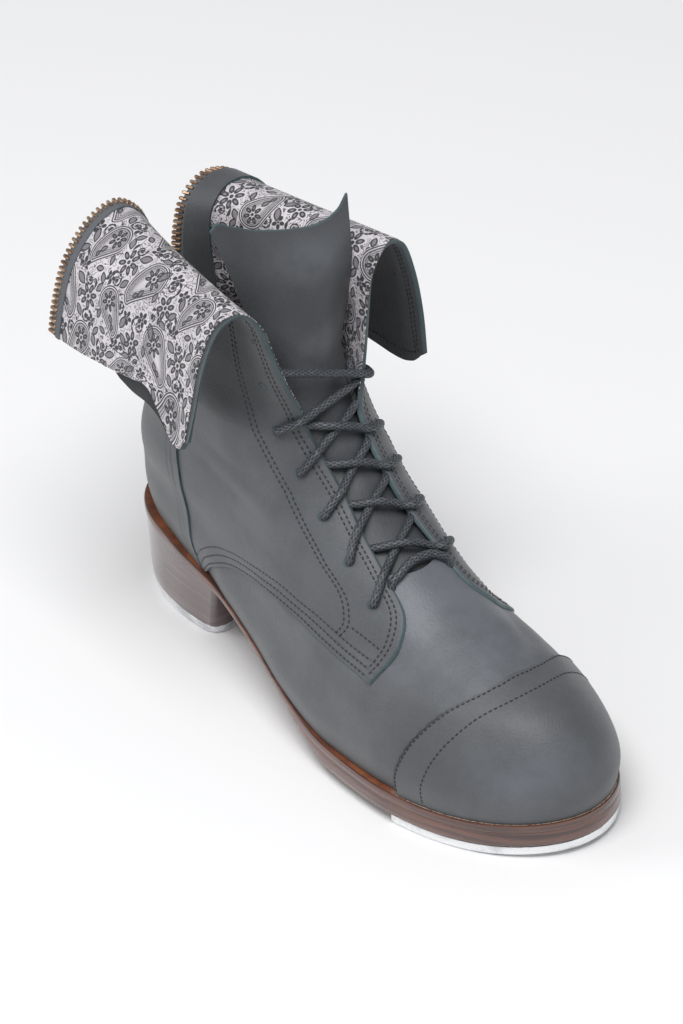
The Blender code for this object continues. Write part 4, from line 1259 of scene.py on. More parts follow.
def damask_cloth(name):
    """Silver jacquard: satin ground, dark figures, and fine ribs of the weave as bump."""
    material, tree, shader = new_material(name, Roughness=0.42, Sheen_Weight=0.2, Sheen_Roughness=0.35)
    nap = use_group(tree, nap_group, Cloud_Scale=55.0, Fibre_Scale=1900.0)
    thread_node = tree.nodes.new("ShaderNodeGroup")
    thread_node.node_tree = damask_group
    for key in ("Drop", "Bloom", "Tendril"):
        tree.links.new(attribute_value(tree, key.lower()), thread_node.inputs[key])
    figure = thread_node.outputs["Figure"]
    ground = mix_colours(tree, nap["Cloud"], (0.47, 0.44, 0.47), (0.71, 0.67, 0.70))
    ground = mix_colours(tree, ramp(tree, nap["Fibre"], 0.3, 0.7), ground, (0.60, 0.565, 0.595))
    thread = mix_colours(tree, nap["Fibre"], (0.014, 0.014, 0.018), (0.06, 0.06, 0.068))
    tree.links.new(mix_colours(tree, figure, ground, thread), shader.inputs["Base Color"])
    tree.links.new(ramp(tree, figure, 0.0, 1.0, 0.40, 0.68), shader.inputs["Roughness"])
    height = plus(tree, times(tree, figure, 0.6), nap["Fibre"])
    add_bump(tree, shader, height, 0.00014, 0.7)
    return material


damask_group = make_damask_group()
lining_cloth = damask_cloth("damask_lining")
print("lining:", lining_cloth.name)

# %% Lining
LINING_LIFT = -1.0
LINING_TUCK = 1.1       # how much deeper the lining starts inside the boot
LINING_THICKNESS = 0.25
LINING_START = 9.0
LINING_COLUMNS = 215
LINING_ROWS = 330
LINING_SETBACK = 0.006
LINING_REACH = 3.1      # mm that the lining shows past the leather's front edge above the collar
REACH_COLUMNS = 14.0    # columns over which that reach is spread


def running_length(points, axis):
    """Distance along a grid axis from its start, averaged over the other axis."""
    step = np.linalg.norm(np.diff(points, axis=axis), axis=-1).mean(axis=1 - axis)
    return np.concatenate([[0.0], np.cumsum(step)])


def lining_grid(side):
    """Lining face on the inside of the shaft, a short turn-in at its edges, and its damask distances."""
    a = np.linspace(LINING_SETBACK, 1.0 - LINING_SETBACK, LINING_COLUMNS)
    v = np.linspace(LINING_START, TOP_LEVEL - 0.03, LINING_ROWS)
    aa, vv = np.meshgrid(a, v)
    lift = LINING_LIFT - LINING_TUCK * (1.0 - ease(vv, LINING_START, LINING_START + 2.0))
    face = on_upper(aa, vv, side, lift)
    back = on_upper(aa, vv, side, lift + LINING_THICKNESS)
    reach = LINING_REACH * band(v, 11.0, 11.8, 15.5, 17.0)
    part = np.clip(1.0 + (np.arange(LINING_COLUMNS) - LINING_COLUMNS + 1.0) / REACH_COLUMNS, 0.0, 1.0)
    run = unit(face[:, -1] - face[:, -2])[:, None, :] * (reach[:, None] * part)[..., None]
    face = face + run
    back = back + run
    s = running_length(face[LINING_ROWS // 2:], 1)
    t = running_length(face, 0)
    ss, tt = np.meshgrid(s, t)
    return face, back, damask_fields(ss + DAMASK_START[0], tt + DAMASK_START[1])


def open_sheet(name, face, back, materials, values):
    """Cloth glued to leather: its face and a rim that turns down to the leather, with no hidden back."""
    rows, cols = face.shape[:2]
    rim_rows = np.concatenate([back[:1], face, back[-1:]], axis=0)
    left = np.concatenate([back[:1, :1], back[:, :1], back[-1:, :1]], axis=0)
    right = np.concatenate([back[:1, -1:], back[:, -1:], back[-1:, -1:]], axis=0)
    points = np.concatenate([left, rim_rows, right], axis=1).reshape(-1, 3)
    grids = {key: np.pad(grid, 1, mode="edge") for key, grid in values.items()}
    quads = grid_quads(rows + 2, cols + 2)
    if not faces_out(points, quads, np.pad(face - back, ((1, 1), (1, 1), (0, 0)), mode="edge")):
        quads = quads[:, ::-1]
    return add_piece(name, points, quads, materials, values=grids, weld=True)


for side in (LATERAL, MEDIAL):
    face, back, fields = lining_grid(side)
    name = "lining_" + SIDE_NAMES[side]
    lining = open_sheet(name, face, back, (lining_cloth,), fields)
    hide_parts("upper")
    print(name, "quads:", len(lining.data.polygons))

# %% [markdown]
# ## Toe cap and backstay
# Both are second leathers over the upper, cut along a line of x against level. Each is the foot's
# own surface between that line and the ridge or heel, lifted by the leather's thickness, so the
# step at its edge has the real height.

# %% Toe cap
CAP_LOW = 0.35
CAP_HIGH = 1.75
CAP_ROWS = 70
CAP_COLUMNS = 170
CAP_CROWDING = 1.7      # how strongly the levels crowd towards the ridge
# The cut line wavers a little: mm, waves and start of two sines of the level
CAP_WAVER = ((0.22, 23.0, 0.0), (0.14, 51.0, 1.0))
CAP_EDGE_STEP = 0.1     # leather that is left at the very edge
CAP_RIM = 0.009         # part of a row that the rounded raw edge takes at each end
CAP_EDGE = table("level x", [
    (0.0, 211.5), (1.0, 213.0), (2.0, 217.5), (3.0, 224.0), (4.0, 231.5), (4.25, 232.0),
])


def cap_edge_x(v, ahead=0.0):
    """x of the cap's back edge on level v, or of a line ahead of it."""
    return smooth_lookup(v, CAP_EDGE["level"], CAP_EDGE["x"]) + ahead


def cap_top_level(ahead=0.0):
    """Level where the cap's edge line meets the ridge."""
    v = np.linspace(2.5, 4.6, 400)
    gap = level_row(v)["front_x"] - cap_edge_x(v, ahead)
    return v[np.argmin(np.abs(gap))]


def cap_grid():
    """Cap face and back: levels crowd towards the point on the ridge where the edges meet."""
    v = cap_top_level() * (1.0 - np.linspace(1.0, 0.0, CAP_ROWS) ** CAP_CROWDING)
    row = level_row(v)
    waver = sum(size * np.sin(waves * v + start) for size, waves, start in CAP_WAVER)
    start = loop_angle(np.minimum(cap_edge_x(v, waver), row["front_x"]), row)
    rim = np.array([0.0, 0.25, 0.5, 0.75, 1.0]) * CAP_RIM
    part = np.concatenate([rim, np.linspace(CAP_RIM, 1.0 - CAP_RIM, CAP_COLUMNS)[1:-1], 1.0 - rim[::-1]])
    angle = start[:, None] + 2.0 * (math.pi - start)[:, None] * part
    level = np.repeat(v[:, None], len(part), axis=1)
    points = foot_loop(angle, level)
    normal = foot_normals(angle, level)
    edge = np.minimum(part, 1.0 - part)[None, :] + np.zeros_like(level)
    low = CAP_LOW + CAP_EDGE_STEP
    lift = low + (CAP_HIGH - low) * np.sqrt(ease(edge, -0.2 * CAP_RIM, CAP_RIM))
    outer = points + normal * lift[..., None]
    inner = points + normal * CAP_LOW
    # painted shade along the sole and along the cap's cut edge
    shade = np.maximum(0.6 * (1.0 - ease(level, 0.0, 0.3)), 0.9 * (1.0 - ease(edge, 0.5 * CAP_RIM, CAP_RIM)))
    values = {"wear_and_highlight": toe_wear(points), "dark": shade,
              "raw": 0.4 * (1.0 - ease(edge, 0.3 * CAP_RIM, CAP_RIM))}
    return above_sole(outer, 0.1), above_sole(inner), values


def foot_normals(angle, v):
    """Unit normals of the foot by small steps in angle and level, outwards on both sides."""
    turn = 0.01
    low = np.clip(v - turn, 0.0, None)
    along = foot_loop(angle + turn, v) - foot_loop(angle - turn, v)
    up = foot_loop(angle, v + turn) - foot_loop(angle, low)
    return unit(np.cross(along, up))


outer, inner, values = cap_grid()
toe_cap = add_sheet("toe_cap_leather", outer, inner, panel_finish, values, weld=True)
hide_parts("toe_cap")
print("toe cap meets the ridge at level", round(float(cap_top_level()), 2))

# %% Backstay
STAY_LOW = 1.3
STAY_HIGH = 2.1
STAY_COLUMNS = 150
STAY_THINNING = 0.6     # mm that it is thinner at the sole
STAY_LEAST = 0.5
# Two faint folds, drawn only as painted shade: mm behind the edge, width and shade
STAY_FOLDS = ((5.0, 0.7, 0.6), (8.5, 0.8, 0.45))
BACKSTAY_EDGE = table("level x", [
    (0.0, 66.0), (1.0, 61.5), (3.0, 58.5), (6.0, 58.0), (8.0, 56.5), (10.0, 52.5), (11.0, 49.5),
])


def stay_angles(v):
    """Angle of the backstay's front edge on each level."""
    return loop_angle(smooth_lookup(v, BACKSTAY_EDGE["level"], BACKSTAY_EDGE["x"]), level_row(v))


def stay_grid(v, start, end):
    """Backstay face and back between two angles a level; angles below zero lie on the inner side."""
    angle = start[:, None] + (end - start)[:, None] * np.linspace(0.0, 1.0, STAY_COLUMNS)
    level = np.repeat(v[:, None], STAY_COLUMNS, axis=1)
    round_angle = np.where(angle < 0.0, angle + 2.0 * math.pi, angle)
    points = foot_loop(round_angle, level)
    normal = foot_normals(np.clip(round_angle, 0.011, 2.0 * math.pi - 0.011), level)
    lift = STAY_HIGH - STAY_THINNING * (1.0 - ease(level, 0.15, 1.8))
    outer = above_sole(points + normal * lift[..., None], 0.1)
    inner = above_sole(points + normal * np.minimum(STAY_LOW, lift - STAY_LEAST)[..., None])
    behind = smooth_lookup(level, BACKSTAY_EDGE["level"], BACKSTAY_EDGE["x"]) - points[..., 0]
    # the folds have no shape of their own: they are painted shade, and the leather at the sole gets painted
    # shade too
    folds = sum(shade * np.exp(-((behind - at) / width) ** 2) for at, width, shade in STAY_FOLDS)
    values = {"wear_and_highlight": np.zeros_like(level), "raw": 1.0 - ease(behind, 0.3, 1.1),
              "dark": np.maximum(folds, 0.4 * (1.0 - ease(level, 0.0, 0.4)))}
    return outer, inner, values


low_levels = np.linspace(0.0, ZIP_LEVEL, 60)
high_levels = np.linspace(ZIP_LEVEL, COLLAR_LEVEL, 40)
zip_start = zip_angle(level_row(high_levels))
stay_parts = {
    "backstay_leather": (low_levels, -stay_angles(low_levels), stay_angles(low_levels)),
    "backstay_ear_lateral": (high_levels, zip_start, stay_angles(high_levels)),
    "backstay_ear_medial": (high_levels, -stay_angles(high_levels), -zip_start),
}
for name, (v, start, end) in stay_parts.items():
    outer, inner, values = stay_grid(v, start, end)
    piece = add_sheet(name, outer, inner, panel_finish, values)
    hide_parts("backstay")
print("backstay pieces:", len(stay_parts))

# %% [markdown]
# ## Tongue
# One soft leather runs from under the vamp, behind the lacing, and stands up past the folded shaft.
# Rows of points across it are joined by a smooth curve, so it bends and cups like the real one.

# %% Tongue
TONGUE_THICKNESS = 1.8
TONGUE_REACH = 22.0
TONGUE_DROP = 2.5
TONGUE_LEVELS = (6.5, 7.2, 8.0, 9.0, 10.0, 11.0)
TONGUE_TOP = table("x y z half turn cup", [
    (114.5, 1.0, 142.0, 21.0, -4.0, 17.0),
    (108.5, 2.0, 162.0, 21.5, -10.0, 10.0),
    (101.0, 3.0, 182.0, 24.5, -16.0, 5.0),
    (91.5, 4.0, 201.0, 29.5, -20.0, 0.0),
])
# Shape of the free top edge: how far it is raised across its width, and how far it curls back
TONGUE_EDGE = table("across up curl", [
    (-1.0, 6.0, 0.0), (-0.9, 9.0, 0.0), (-0.7, 6.5, 0.0), (-0.4, 2.8, 0.0), (0.0, 0.0, 0.0),
    (0.4, -1.2, 0.0), (0.64, 0.2, 0.2), (0.82, 3.4, 0.8), (0.93, 7.0, 1.5), (1.0, 9.0, 2.0),
])
# Soft waves across the tongue: row, place across, height in mm and width in rows
TONGUE_WAVES = table("row across height width", [
    (6.6, 0.25, 0.9, 0.45),
    (7.5, -0.30, -1.0, 0.5),
    (8.2, 0.35, 1.2, 0.5),
    (4.4, 0.0, 0.5, 0.3),
    (3.3, 0.1, 0.5, 0.3),
])
WAVE_REACH = 0.7        # how far a wave reaches across, where 1 is half the width
TONGUE_RIM = 0.065      # rows that the dyed cut edge takes at the top
TONGUE_ROWS = 150
TONGUE_COLUMNS = 72


def tongue_lines(across):
    """Rows of points across the tongue, from its root under the vamp to its top edge."""
    lines = []
    for level in TONGUE_LEVELS:
        v = np.full_like(across, level)
        row = level_row(v)
        reach = np.abs(across) * TONGUE_REACH / row["side"]
        tip = row["front_x"] - row["nose"] * (1.0 - np.sqrt(1.0 - reach ** 2))
        bent = loop_angle(tip, row)
        angle = np.where(across <= 0.0, bent, 2.0 * math.pi - bent)
        lines.append(foot_loop(angle, v) - foot_normals(angle, v) * TONGUE_DROP)
    for value in table_rows(TONGUE_TOP):
        turn = math.radians(value["turn"])
        wide = across * value["half"]
        cup = value["cup"] * across ** 2
        x = value["x"] - wide * math.sin(turn) - cup * math.cos(turn)
        y = value["y"] + wide * math.cos(turn) - cup * math.sin(turn)
        lines.append(np.stack([x, y, np.full_like(x, value["z"])], axis=-1))
    curl = smooth_lookup(across, TONGUE_EDGE["across"], TONGUE_EDGE["curl"])
    lines[-1][:, 0] -= curl
    lines[-1][:, 1] -= 0.5 * curl
    lines[-1][:, 2] += smooth_lookup(across, TONGUE_EDGE["across"], TONGUE_EDGE["up"])
    return np.array(lines)


def tongue_grid():
    """Tongue face and back, with its soft waves as bells over row and across, and painted shade in their
    troughs.
    """
    across = np.linspace(-1.0, 1.0, TONGUE_COLUMNS)
    lines = tongue_lines(across)
    rows = np.linspace(0.0, len(lines) - 1.0, TONGUE_ROWS)
    points = smooth_rows(lines.reshape(len(lines), -1), rows).reshape(TONGUE_ROWS, TONGUE_COLUMNS, 3)
    normal = grid_normals(points)
    wave = np.zeros((TONGUE_ROWS, TONGUE_COLUMNS))
    for value in table_rows(TONGUE_WAVES):
        up = (rows[:, None] - value["row"]) / value["width"]
        out = (across[None, :] - value["across"]) / WAVE_REACH
        wave = wave + value["height"] * np.exp(-up ** 2 - out ** 2)
    outer = points + normal * wave[..., None]
    inner = outer - normal * TONGUE_THICKNESS
    # the crests of the waves are lighter, as wear and painted highlight, and their troughs take painted shade
    wear_and_highlight = 0.35 * np.clip(wave, 0.0, None) + 0.1 * (rows[:, None] < 6.0)
    top = len(lines) - 1.0
    raw = np.repeat(ease(rows, top - TONGUE_RIM, top)[:, None], TONGUE_COLUMNS, axis=1)
    return outer, inner, {"wear_and_highlight": wear_and_highlight, "dark": np.clip(-0.25 * wave, 0.0, 1.0), "raw": raw}


tongue_face, inner, values = tongue_grid()
tongue_finish = (tongue_leather, flesh_side, teal_edge)
tongue = add_sheet("tongue_leather_sheet", tongue_face, inner, tongue_finish, values)
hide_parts("tongue")
print("tongue stands to", round(float(tongue_face[..., 2].max()), 1), "mm")

# %% [markdown]
# ## Sole, heel and taps
# The bottom is built up from cut leather: a full outsole whose rim shows as the welt, a half sole
# under the ball, and a stacked heel, all burnished dark brown. Each is a profile carried round the
# sole's outline, so the edges can be rounded a little, as a knife and wax leave them.

# %% Sole materials


def burnished_edge(name, dark, light, gloss, coat):
    """Waxed sole edge: reddish fibres along the layer, blotches of wax, and a coat of polish."""
    material, tree, shader = new_material(name, Roughness=0.35, Coat_Weight=coat, Coat_Roughness=0.12,
                                          Coat_IOR=1.8)
    streak = use_group(tree, streak_group, Along=22.0, Across=620.0)
    tone = plus(tree, times(tree, streak["Streak"], 0.7), times(tree, streak["Blotch"], 0.3))
    tree.links.new(mix_colours(tree, tone, dark, light), shader.inputs["Base Color"])
    tree.links.new(ramp(tree, streak["Blotch"], 0.0, 1.0, gloss, gloss + 0.18), shader.inputs["Roughness"])
    add_bump(tree, shader, streak["Streak"], 0.00018, 0.5)
    return material


def welt_leather(name):
    """Top of the welt: rust-brown leather, darker where "shade" says, cream and chewed where "pale" does."""
    material, tree, shader = new_material(name, Roughness=0.6)
    nap = use_group(tree, nap_group, Cloud_Scale=120.0, Fibre_Scale=1100.0)
    scuff = use_group(tree, scuff_group, Patch_Scale=140.0, Amount=0.35)["Scuff"]
    colour = mix_colours(tree, nap["Cloud"], (0.115, 0.031, 0.010), (0.235, 0.070, 0.022))
    colour = mix_colours(tree, scuff, colour, (0.27, 0.10, 0.04))
    colour = mix_colours(tree, attribute_value(tree, "shade"), colour, (0.035, 0.012, 0.007))
    chewed = times(tree, attribute_value(tree, "pale"), ramp(tree, nap["Fibre"], 0.4, 0.52))
    colour = mix_colours(tree, chewed, colour, (0.66, 0.54, 0.40))
    tree.links.new(colour, shader.inputs["Base Color"])
    add_bump(tree, shader, nap["Fibre"], 0.0003, 0.6)
    return material


def cast_metal(name):
    """Bright aluminium with fine scratches and a slightly uneven polish."""
    material, tree, shader = new_material(name, Roughness=0.25, Metallic=1.0)
    streak = use_group(tree, streak_group, Along=60.0, Across=900.0)
    scuff = use_group(tree, scuff_group, Patch_Scale=90.0, Amount=0.6)["Scuff"]
    tree.links.new(mix_colours(tree, scuff, (0.87, 0.88, 0.89), (0.66, 0.67, 0.69)),
                   shader.inputs["Base Color"])
    tree.links.new(ramp(tree, streak["Streak"], 0.0, 1.0, 0.2, 0.38), shader.inputs["Roughness"])
    add_bump(tree, shader, streak["Streak"], 0.00005, 0.4)
    return material


sole_edge_wax = burnished_edge("burnished_sole_edge", (0.045, 0.017, 0.012), (0.19, 0.075, 0.050), 0.2, 0.5)
heel_wax = burnished_edge("burnished_heel", (0.052, 0.029, 0.030), (0.122, 0.068, 0.068), 0.14, 1.0)
welt_top = welt_leather("welt_top_leather")
tap_metal = cast_metal("tap_aluminium")
print("sole finishes:", sole_edge_wax.name, heel_wax.name, welt_top.name, tap_metal.name)

# %% Plates with the sole's outline
OUTLINE_POINTS = 170
RIM_BAND = 4.5          # mm of the top that are kept level beside the rim
HALF_SOLE_BACK = 141.0
HALF_SOLE_FULL = 170.0
HALF_SOLE_SKIVED = 1.1
TOE_TAP_BACK = 210.0
WAIST_PARING = 1.3
# Start, full, fade and end in x of the pared waist and of the welt's shaded stretch
WAIST_PARED = (72.0, 84.0, 128.0, 141.0)
WELT_SHADED = (62.0, 76.0, 140.0, 172.0)
WELT_PALE = (206.0, 222.0)


def outline_loop(start, inset, across):
    """x and y once round: outer side forwards, inner side back; across shrinks it to the middle."""
    first = math.acos(1.0 - 2.0 * start / SOLE_LENGTH)
    turn = np.linspace(first, math.pi, OUTLINE_POINTS)
    base = SOLE_LENGTH * (1.0 - np.cos(turn)) / 2.0
    part = (base - start) / (SOLE_LENGTH - start)
    begin = start if start > 0.0 else inset
    x = begin + (SOLE_LENGTH - inset - begin) * part
    low = sole_edge(x, LATERAL, inset)
    high = sole_edge(x, MEDIAL, inset)
    middle = (low + high) / 2
    y_low = middle + (low - middle) * across
    y_high = middle + (high - middle) * across
    return np.concatenate([x, x[::-1]]), np.concatenate([y_low, y_high[::-1]])


def plate_rings(start, inset, top, bottom, rounding):
    """Rings from the middle of the top, over a rounded rim and down, to the middle of the bottom."""
    upper, lower = rounding
    steps = [(0.0, 0.0, 0.0, 0.0), (upper, 0.0, 0.55, 0.0),
             (upper + RIM_BAND, 0.0, 1.0, 0.0), (upper, 0.0, 1.0, 0.0),
             (0.3 * upper, 0.3 * upper, 1.0, 0.0), (0.0, upper, 1.0, 0.0),
             (0.0, lower, 1.0, 1.0), (0.3 * lower, 0.3 * lower, 1.0, 1.0),
             (lower, 0.0, 1.0, 1.0), (lower, 0.0, 0.55, 1.0), (0.0, 0.0, 0.0, 1.0)]
    rings = []
    for more, drop, across, below in steps:
        x, y = outline_loop(start, inset + more, across)
        z = bottom(x) + drop if below else top(x) - drop
        rings.append(np.stack([x, y, z], axis=-1))
    return np.array(rings)


def add_plate(name, start, inset, top, bottom, rounding, materials, top_rings=0):
    """Sole layer from its rings; the first rings may take a second material."""
    rings = plate_rings(start, inset, top, bottom, rounding)
    quads = grid_quads(*rings.shape[:2], wrap=True)
    part = np.repeat(np.arange(len(rings) - 1), rings.shape[1])
    slot = np.where(part < top_rings, 1, 0)
    x = rings[..., 0]
    values = {"pale": ease(x, *WELT_PALE), "shade": band(x, *WELT_SHADED)}
    return add_piece(name, rings.reshape(-1, 3), quads[:, ::-1], materials, slot, values=values, weld=True)


def outsole_bottom(x):
    """Bottom of the outsole, which is pared thin at the waist."""
    return rim_top(x) - OUTSOLE + WAIST_PARING * band(x, *WAIST_PARED)


def half_sole_top(x):
    """Top of the half sole, just under the outsole."""
    return sole_top(x) - OUTSOLE - 0.05


def half_sole_bottom(x):
    """The half sole is skived to a thin edge at the waist."""
    full = ease(x, HALF_SOLE_BACK, HALF_SOLE_FULL)
    return half_sole_top(x) - HALF_SOLE_SKIVED - (HALF_SOLE - HALF_SOLE_SKIVED) * full


def toe_tap_top(x):
    """Top of the toe tap, just under the half sole."""
    return sole_top(x) - OUTSOLE - HALF_SOLE - 2 * GAP


def toe_tap_bottom(x):
    """Bottom of the toe tap, which follows its top."""
    return toe_tap_top(x) - TAP


outsole = add_plate("outsole_leather", 0.0, 0.0, rim_top, outsole_bottom, (0.8, 0.08),
                    (sole_edge_wax, welt_top), top_rings=3)
half_sole = add_plate("half_sole_leather", HALF_SOLE_BACK, 0.0, half_sole_top, half_sole_bottom, (0.08, 0.5),
                      (sole_edge_wax,))
toe_tap = add_plate("toe_tap_plate", TOE_TAP_BACK, 0.6, toe_tap_top, toe_tap_bottom, (0.6, 0.6), (tap_metal,))
for piece, node_name, slot in ((outsole, "outsole", "sole_edge"), (half_sole, "half_sole", "sole_edge"),
                               (toe_tap, "toe_tap", "tap_metal")):
    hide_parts(node_name)
    print(piece.name, "quads:", len(piece.data.polygons))

# %% Heel and heel tap
BREAST_TOP = 70.0
BREAST_BOTTOM = 64.5
HEEL_BLOCK = table("up inset", [(0.0, 2.2), (0.03, 0.95), (0.3, 0.7), (0.65, 0.5), (1.0, 0.3)])
HEEL_LIFT = 5.4             # thickness of one leather layer of the stack
HEEL_RINGS = 60
HEEL_POINTS = 90
BREAST_POINTS = 24
HEEL_CORNER = 2.5
TAP_CORNER = 8.0
HEEL_CURVE = 5.0            # mm that the sides swing in towards the breast
CORNER_POINTS = 14
LAYER_GROOVE = 0.04
GROOVE_HALF = 0.28
SEAT_GAP = 0.1              # between the heel and the outsole
END_RINGS = (0.0, 0.5, 0.97)
HEEL_TAP_INSET = 1.6


def heel_loop(inset, breast, corner):
    """x and y round the heel: outer side back, inner side forwards, then across the breast."""
    turn = np.linspace(0.0, math.pi / 2, HEEL_POINTS)
    x = inset + (breast - corner - inset) * (1.0 - np.cos(turn))
    swing_in = HEEL_CURVE * ease(x, 30.0, 72.0) ** 1.3
    outer_y = sole_edge(x, LATERAL, inset) + swing_in
    inner_y = sole_edge(x, MEDIAL, inset) - swing_in
    bend = np.linspace(0.0, math.pi / 2, CORNER_POINTS)[1:]
    corner_x = x[-1] + corner * np.sin(bend)
    corner_in = corner * (1.0 - np.cos(bend))
    outer_corner = outer_y[-1] + corner_in
    inner_corner = inner_y[-1] - corner_in
    across = np.linspace(0.0, 1.0, BREAST_POINTS)[1:-1]
    breast_y = inner_corner[-1] + (outer_corner[-1] - inner_corner[-1]) * across
    xs = np.concatenate([corner_x[::-1], x[::-1], x[1:], corner_x, np.full(len(across), breast)])
    ys = np.concatenate([outer_corner[::-1], outer_y[::-1], inner_y[1:], inner_corner, breast_y])
    return xs, ys


def closed_stack(rings, squeeze):
    """Rings with both ends drawn in to a point in the middle, so the stack is closed."""
    bottom = rings[0].mean(axis=0)
    top = rings[-1].mean(axis=0)
    lower = [bottom + (rings[0] - bottom) * k for k in squeeze]
    upper = [top + (rings[-1] - top) * k for k in squeeze[::-1]]
    return np.array(lower + list(rings) + upper)


def heel_rings():
    """Heel block with a fine groove at each layer, set in a little towards the floor."""
    rings = []
    low = TAP + GAP
    height = HEEL_RIM_HEIGHT - OUTSOLE - SEAT_GAP - low
    for up in np.linspace(0.0, 1.0, HEEL_RINGS):
        inset = smooth_lookup(up, HEEL_BLOCK["up"], HEEL_BLOCK["inset"])
        layer = (up * height) % HEEL_LIFT
        groove = LAYER_GROOVE * math.exp(-((layer - HEEL_LIFT / 2) / GROOVE_HALF) ** 2)
        breast = BREAST_BOTTOM + (BREAST_TOP - BREAST_BOTTOM) * up
        x, y = heel_loop(inset + groove, breast, HEEL_CORNER)
        top = rim_top(x) - OUTSOLE - SEAT_GAP
        rings.append(np.stack([x, y, low + (top - low) * up], axis=-1))
    return rings


def heel_tap_rings():
    """Heel tap with rounded edges below and above."""
    rings = []
    front = BREAST_BOTTOM + HEEL_TAP_INSET
    for inset, z in ((0.8, 0.0), (0.35, 0.15), (0.1, 0.4), (0.0, 0.8), (0.0, TAP - 0.5), (0.15, TAP - 0.15),
                     (0.5, TAP)):
        x, y = heel_loop(HEEL_TAP_INSET + inset, front - HEEL_TAP_INSET - inset, TAP_CORNER)
        rings.append(np.stack([x, y, np.full_like(x, z)], axis=-1))
    return rings


def add_stack(name, rings, material):
    """Closed stack of rings as a piece."""
    stack = closed_stack(rings, END_RINGS)
    quads = grid_quads(*stack.shape[:2], wrap=True)
    return add_piece(name, stack.reshape(-1, 3), quads[:, ::-1], (material,), weld=True)


heel = add_stack("heel_stack_leather", heel_rings(), heel_wax)
heel_tap = add_stack("heel_tap_plate", heel_tap_rings(), tap_metal)
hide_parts("heel")
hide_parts("heel_tap")
print("heel layers:", round((HEEL_RIM_HEIGHT - OUTSOLE - TAP) / HEEL_LIFT, 1))

# %% [markdown]
# ## Insole
# The sock bed is a plain tan leather at the bottom of the boot. Its solid has the right shape, so it
# only needs a finish.

# %% Insole finish
insole_leather = two_tone("sock_leather", (60.0, 900.0), "Cloud", (0.30, 0.20, 0.12), (0.46, 0.33, 0.21),
                          grain=(0.0002, 0.5), Roughness=0.7)
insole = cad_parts["insole"]
for piece in (insole if isinstance(insole, (list, tuple)) else [insole]):
    piece.data.materials.clear()
    piece.data.materials.append(insole_leather)
print("insole finish:", insole_leather.name)

# %% [markdown]
# ## Thread
# Every panel is sewn with dark thread, about eleven stitches in 25 mm. A stitch is a small flattened
# capsule that dips at both ends. One array holds all the stitches of a seam, because thousands of
# small objects would be slow.

# %% Stitch tools
STITCH_PITCH = 2.3
STITCH_LENGTH = 1.75
STITCH_WIDTH = 0.76
STITCH_HEIGHT = 0.42
STITCH_DIP = 0.12       # how far the ends dip for each mm from the middle
STITCH_SIGHT = 0.6      # mm ahead and behind that give a stitch its direction
THREAD_DARK = (0.009, 0.010, 0.012)
THREAD_LIGHT = (0.0198, 0.022, 0.0264)
CAPSULE = table("along size", [(-0.72, 0.75), (0.0, 1.0), (0.72, 0.75)])
CAPSULE_SIDES = 6


def capped_faces(rings, sides):
    """Faces of stacked rings whose two end points come last: quads between rings, then two cones."""
    ring = np.arange(sides)
    following = (ring + 1) % sides
    none = np.full(sides, -1)
    start = np.stack([following, ring, np.full(sides, rings * sides), none], axis=-1)
    last = (rings - 1) * sides
    end = np.stack([last + ring, last + following, np.full(sides, rings * sides + 1), none], axis=-1)
    return np.vstack([grid_quads(rings, sides, wrap=True), start, end])


def placed_copies(local, faces, centres, axes):
    """Copies of a small mesh: each point is its centre plus the three axes times the local sizes."""
    turned = sum(axis[:, None, :] * local[None, :, k, None] for k, axis in enumerate(axes))
    shift = np.arange(len(centres))[:, None, None] * len(local)
    points = (centres[:, None, :] + turned).reshape(-1, 3)
    return points, np.where(faces >= 0, faces + shift, -1).reshape(-1, 4)


def capsule():
    """Points and faces of one flattened capsule along its first axis, with ends that dip."""
    turn = np.arange(CAPSULE_SIDES) * 2.0 * math.pi / CAPSULE_SIDES
    turns = np.concatenate([np.tile(turn, len(CAPSULE["along"])), [0.0, 0.0]])
    along = np.concatenate([np.repeat(CAPSULE["along"], CAPSULE_SIDES), [-1.0, 1.0]]) * STITCH_LENGTH / 2
    size = np.concatenate([np.repeat(CAPSULE["size"], CAPSULE_SIDES), [0.0, 0.0]])
    wide = size * np.cos(turns) * STITCH_WIDTH / 2
    high = size * np.sin(turns) * STITCH_HEIGHT / 2 - STITCH_DIP * np.abs(along)
    return np.stack([along, wide, high], axis=-1), capped_faces(len(CAPSULE["along"]), CAPSULE_SIDES)


def stitch_meshes(points, normals):
    """Capsules spaced evenly along a line of points, each lying along it and half sunk."""
    run = run_length(points)
    count = max(int(run[-1] / STITCH_PITCH), 1)
    at = (np.arange(count) + 0.5) * run[-1] / count
    along = unit(read_line(at + STITCH_SIGHT, run, points) - read_line(at - STITCH_SIGHT, run, points))
    side = unit(np.cross(unit(read_line(at, run, normals)), along))
    return placed_copies(*capsule(), read_line(at, run, points), (along, side, np.cross(along, side)))


def join_meshes(parts):
    """Several point and face arrays as one."""
    shift = np.cumsum([0] + [len(points) for points, _ in parts[:-1]])
    faces = [np.where(face >= 0, face + start, -1) for (_, face), start in zip(parts, shift)]
    return np.vstack([points for points, _ in parts]), np.vstack(faces)


dark_thread = two_tone("dark_thread", (300.0, 2500.0), "Fibre", THREAD_DARK, THREAD_LIGHT, Roughness=0.5)
print("faces in a stitch:", len(capsule()[1]))

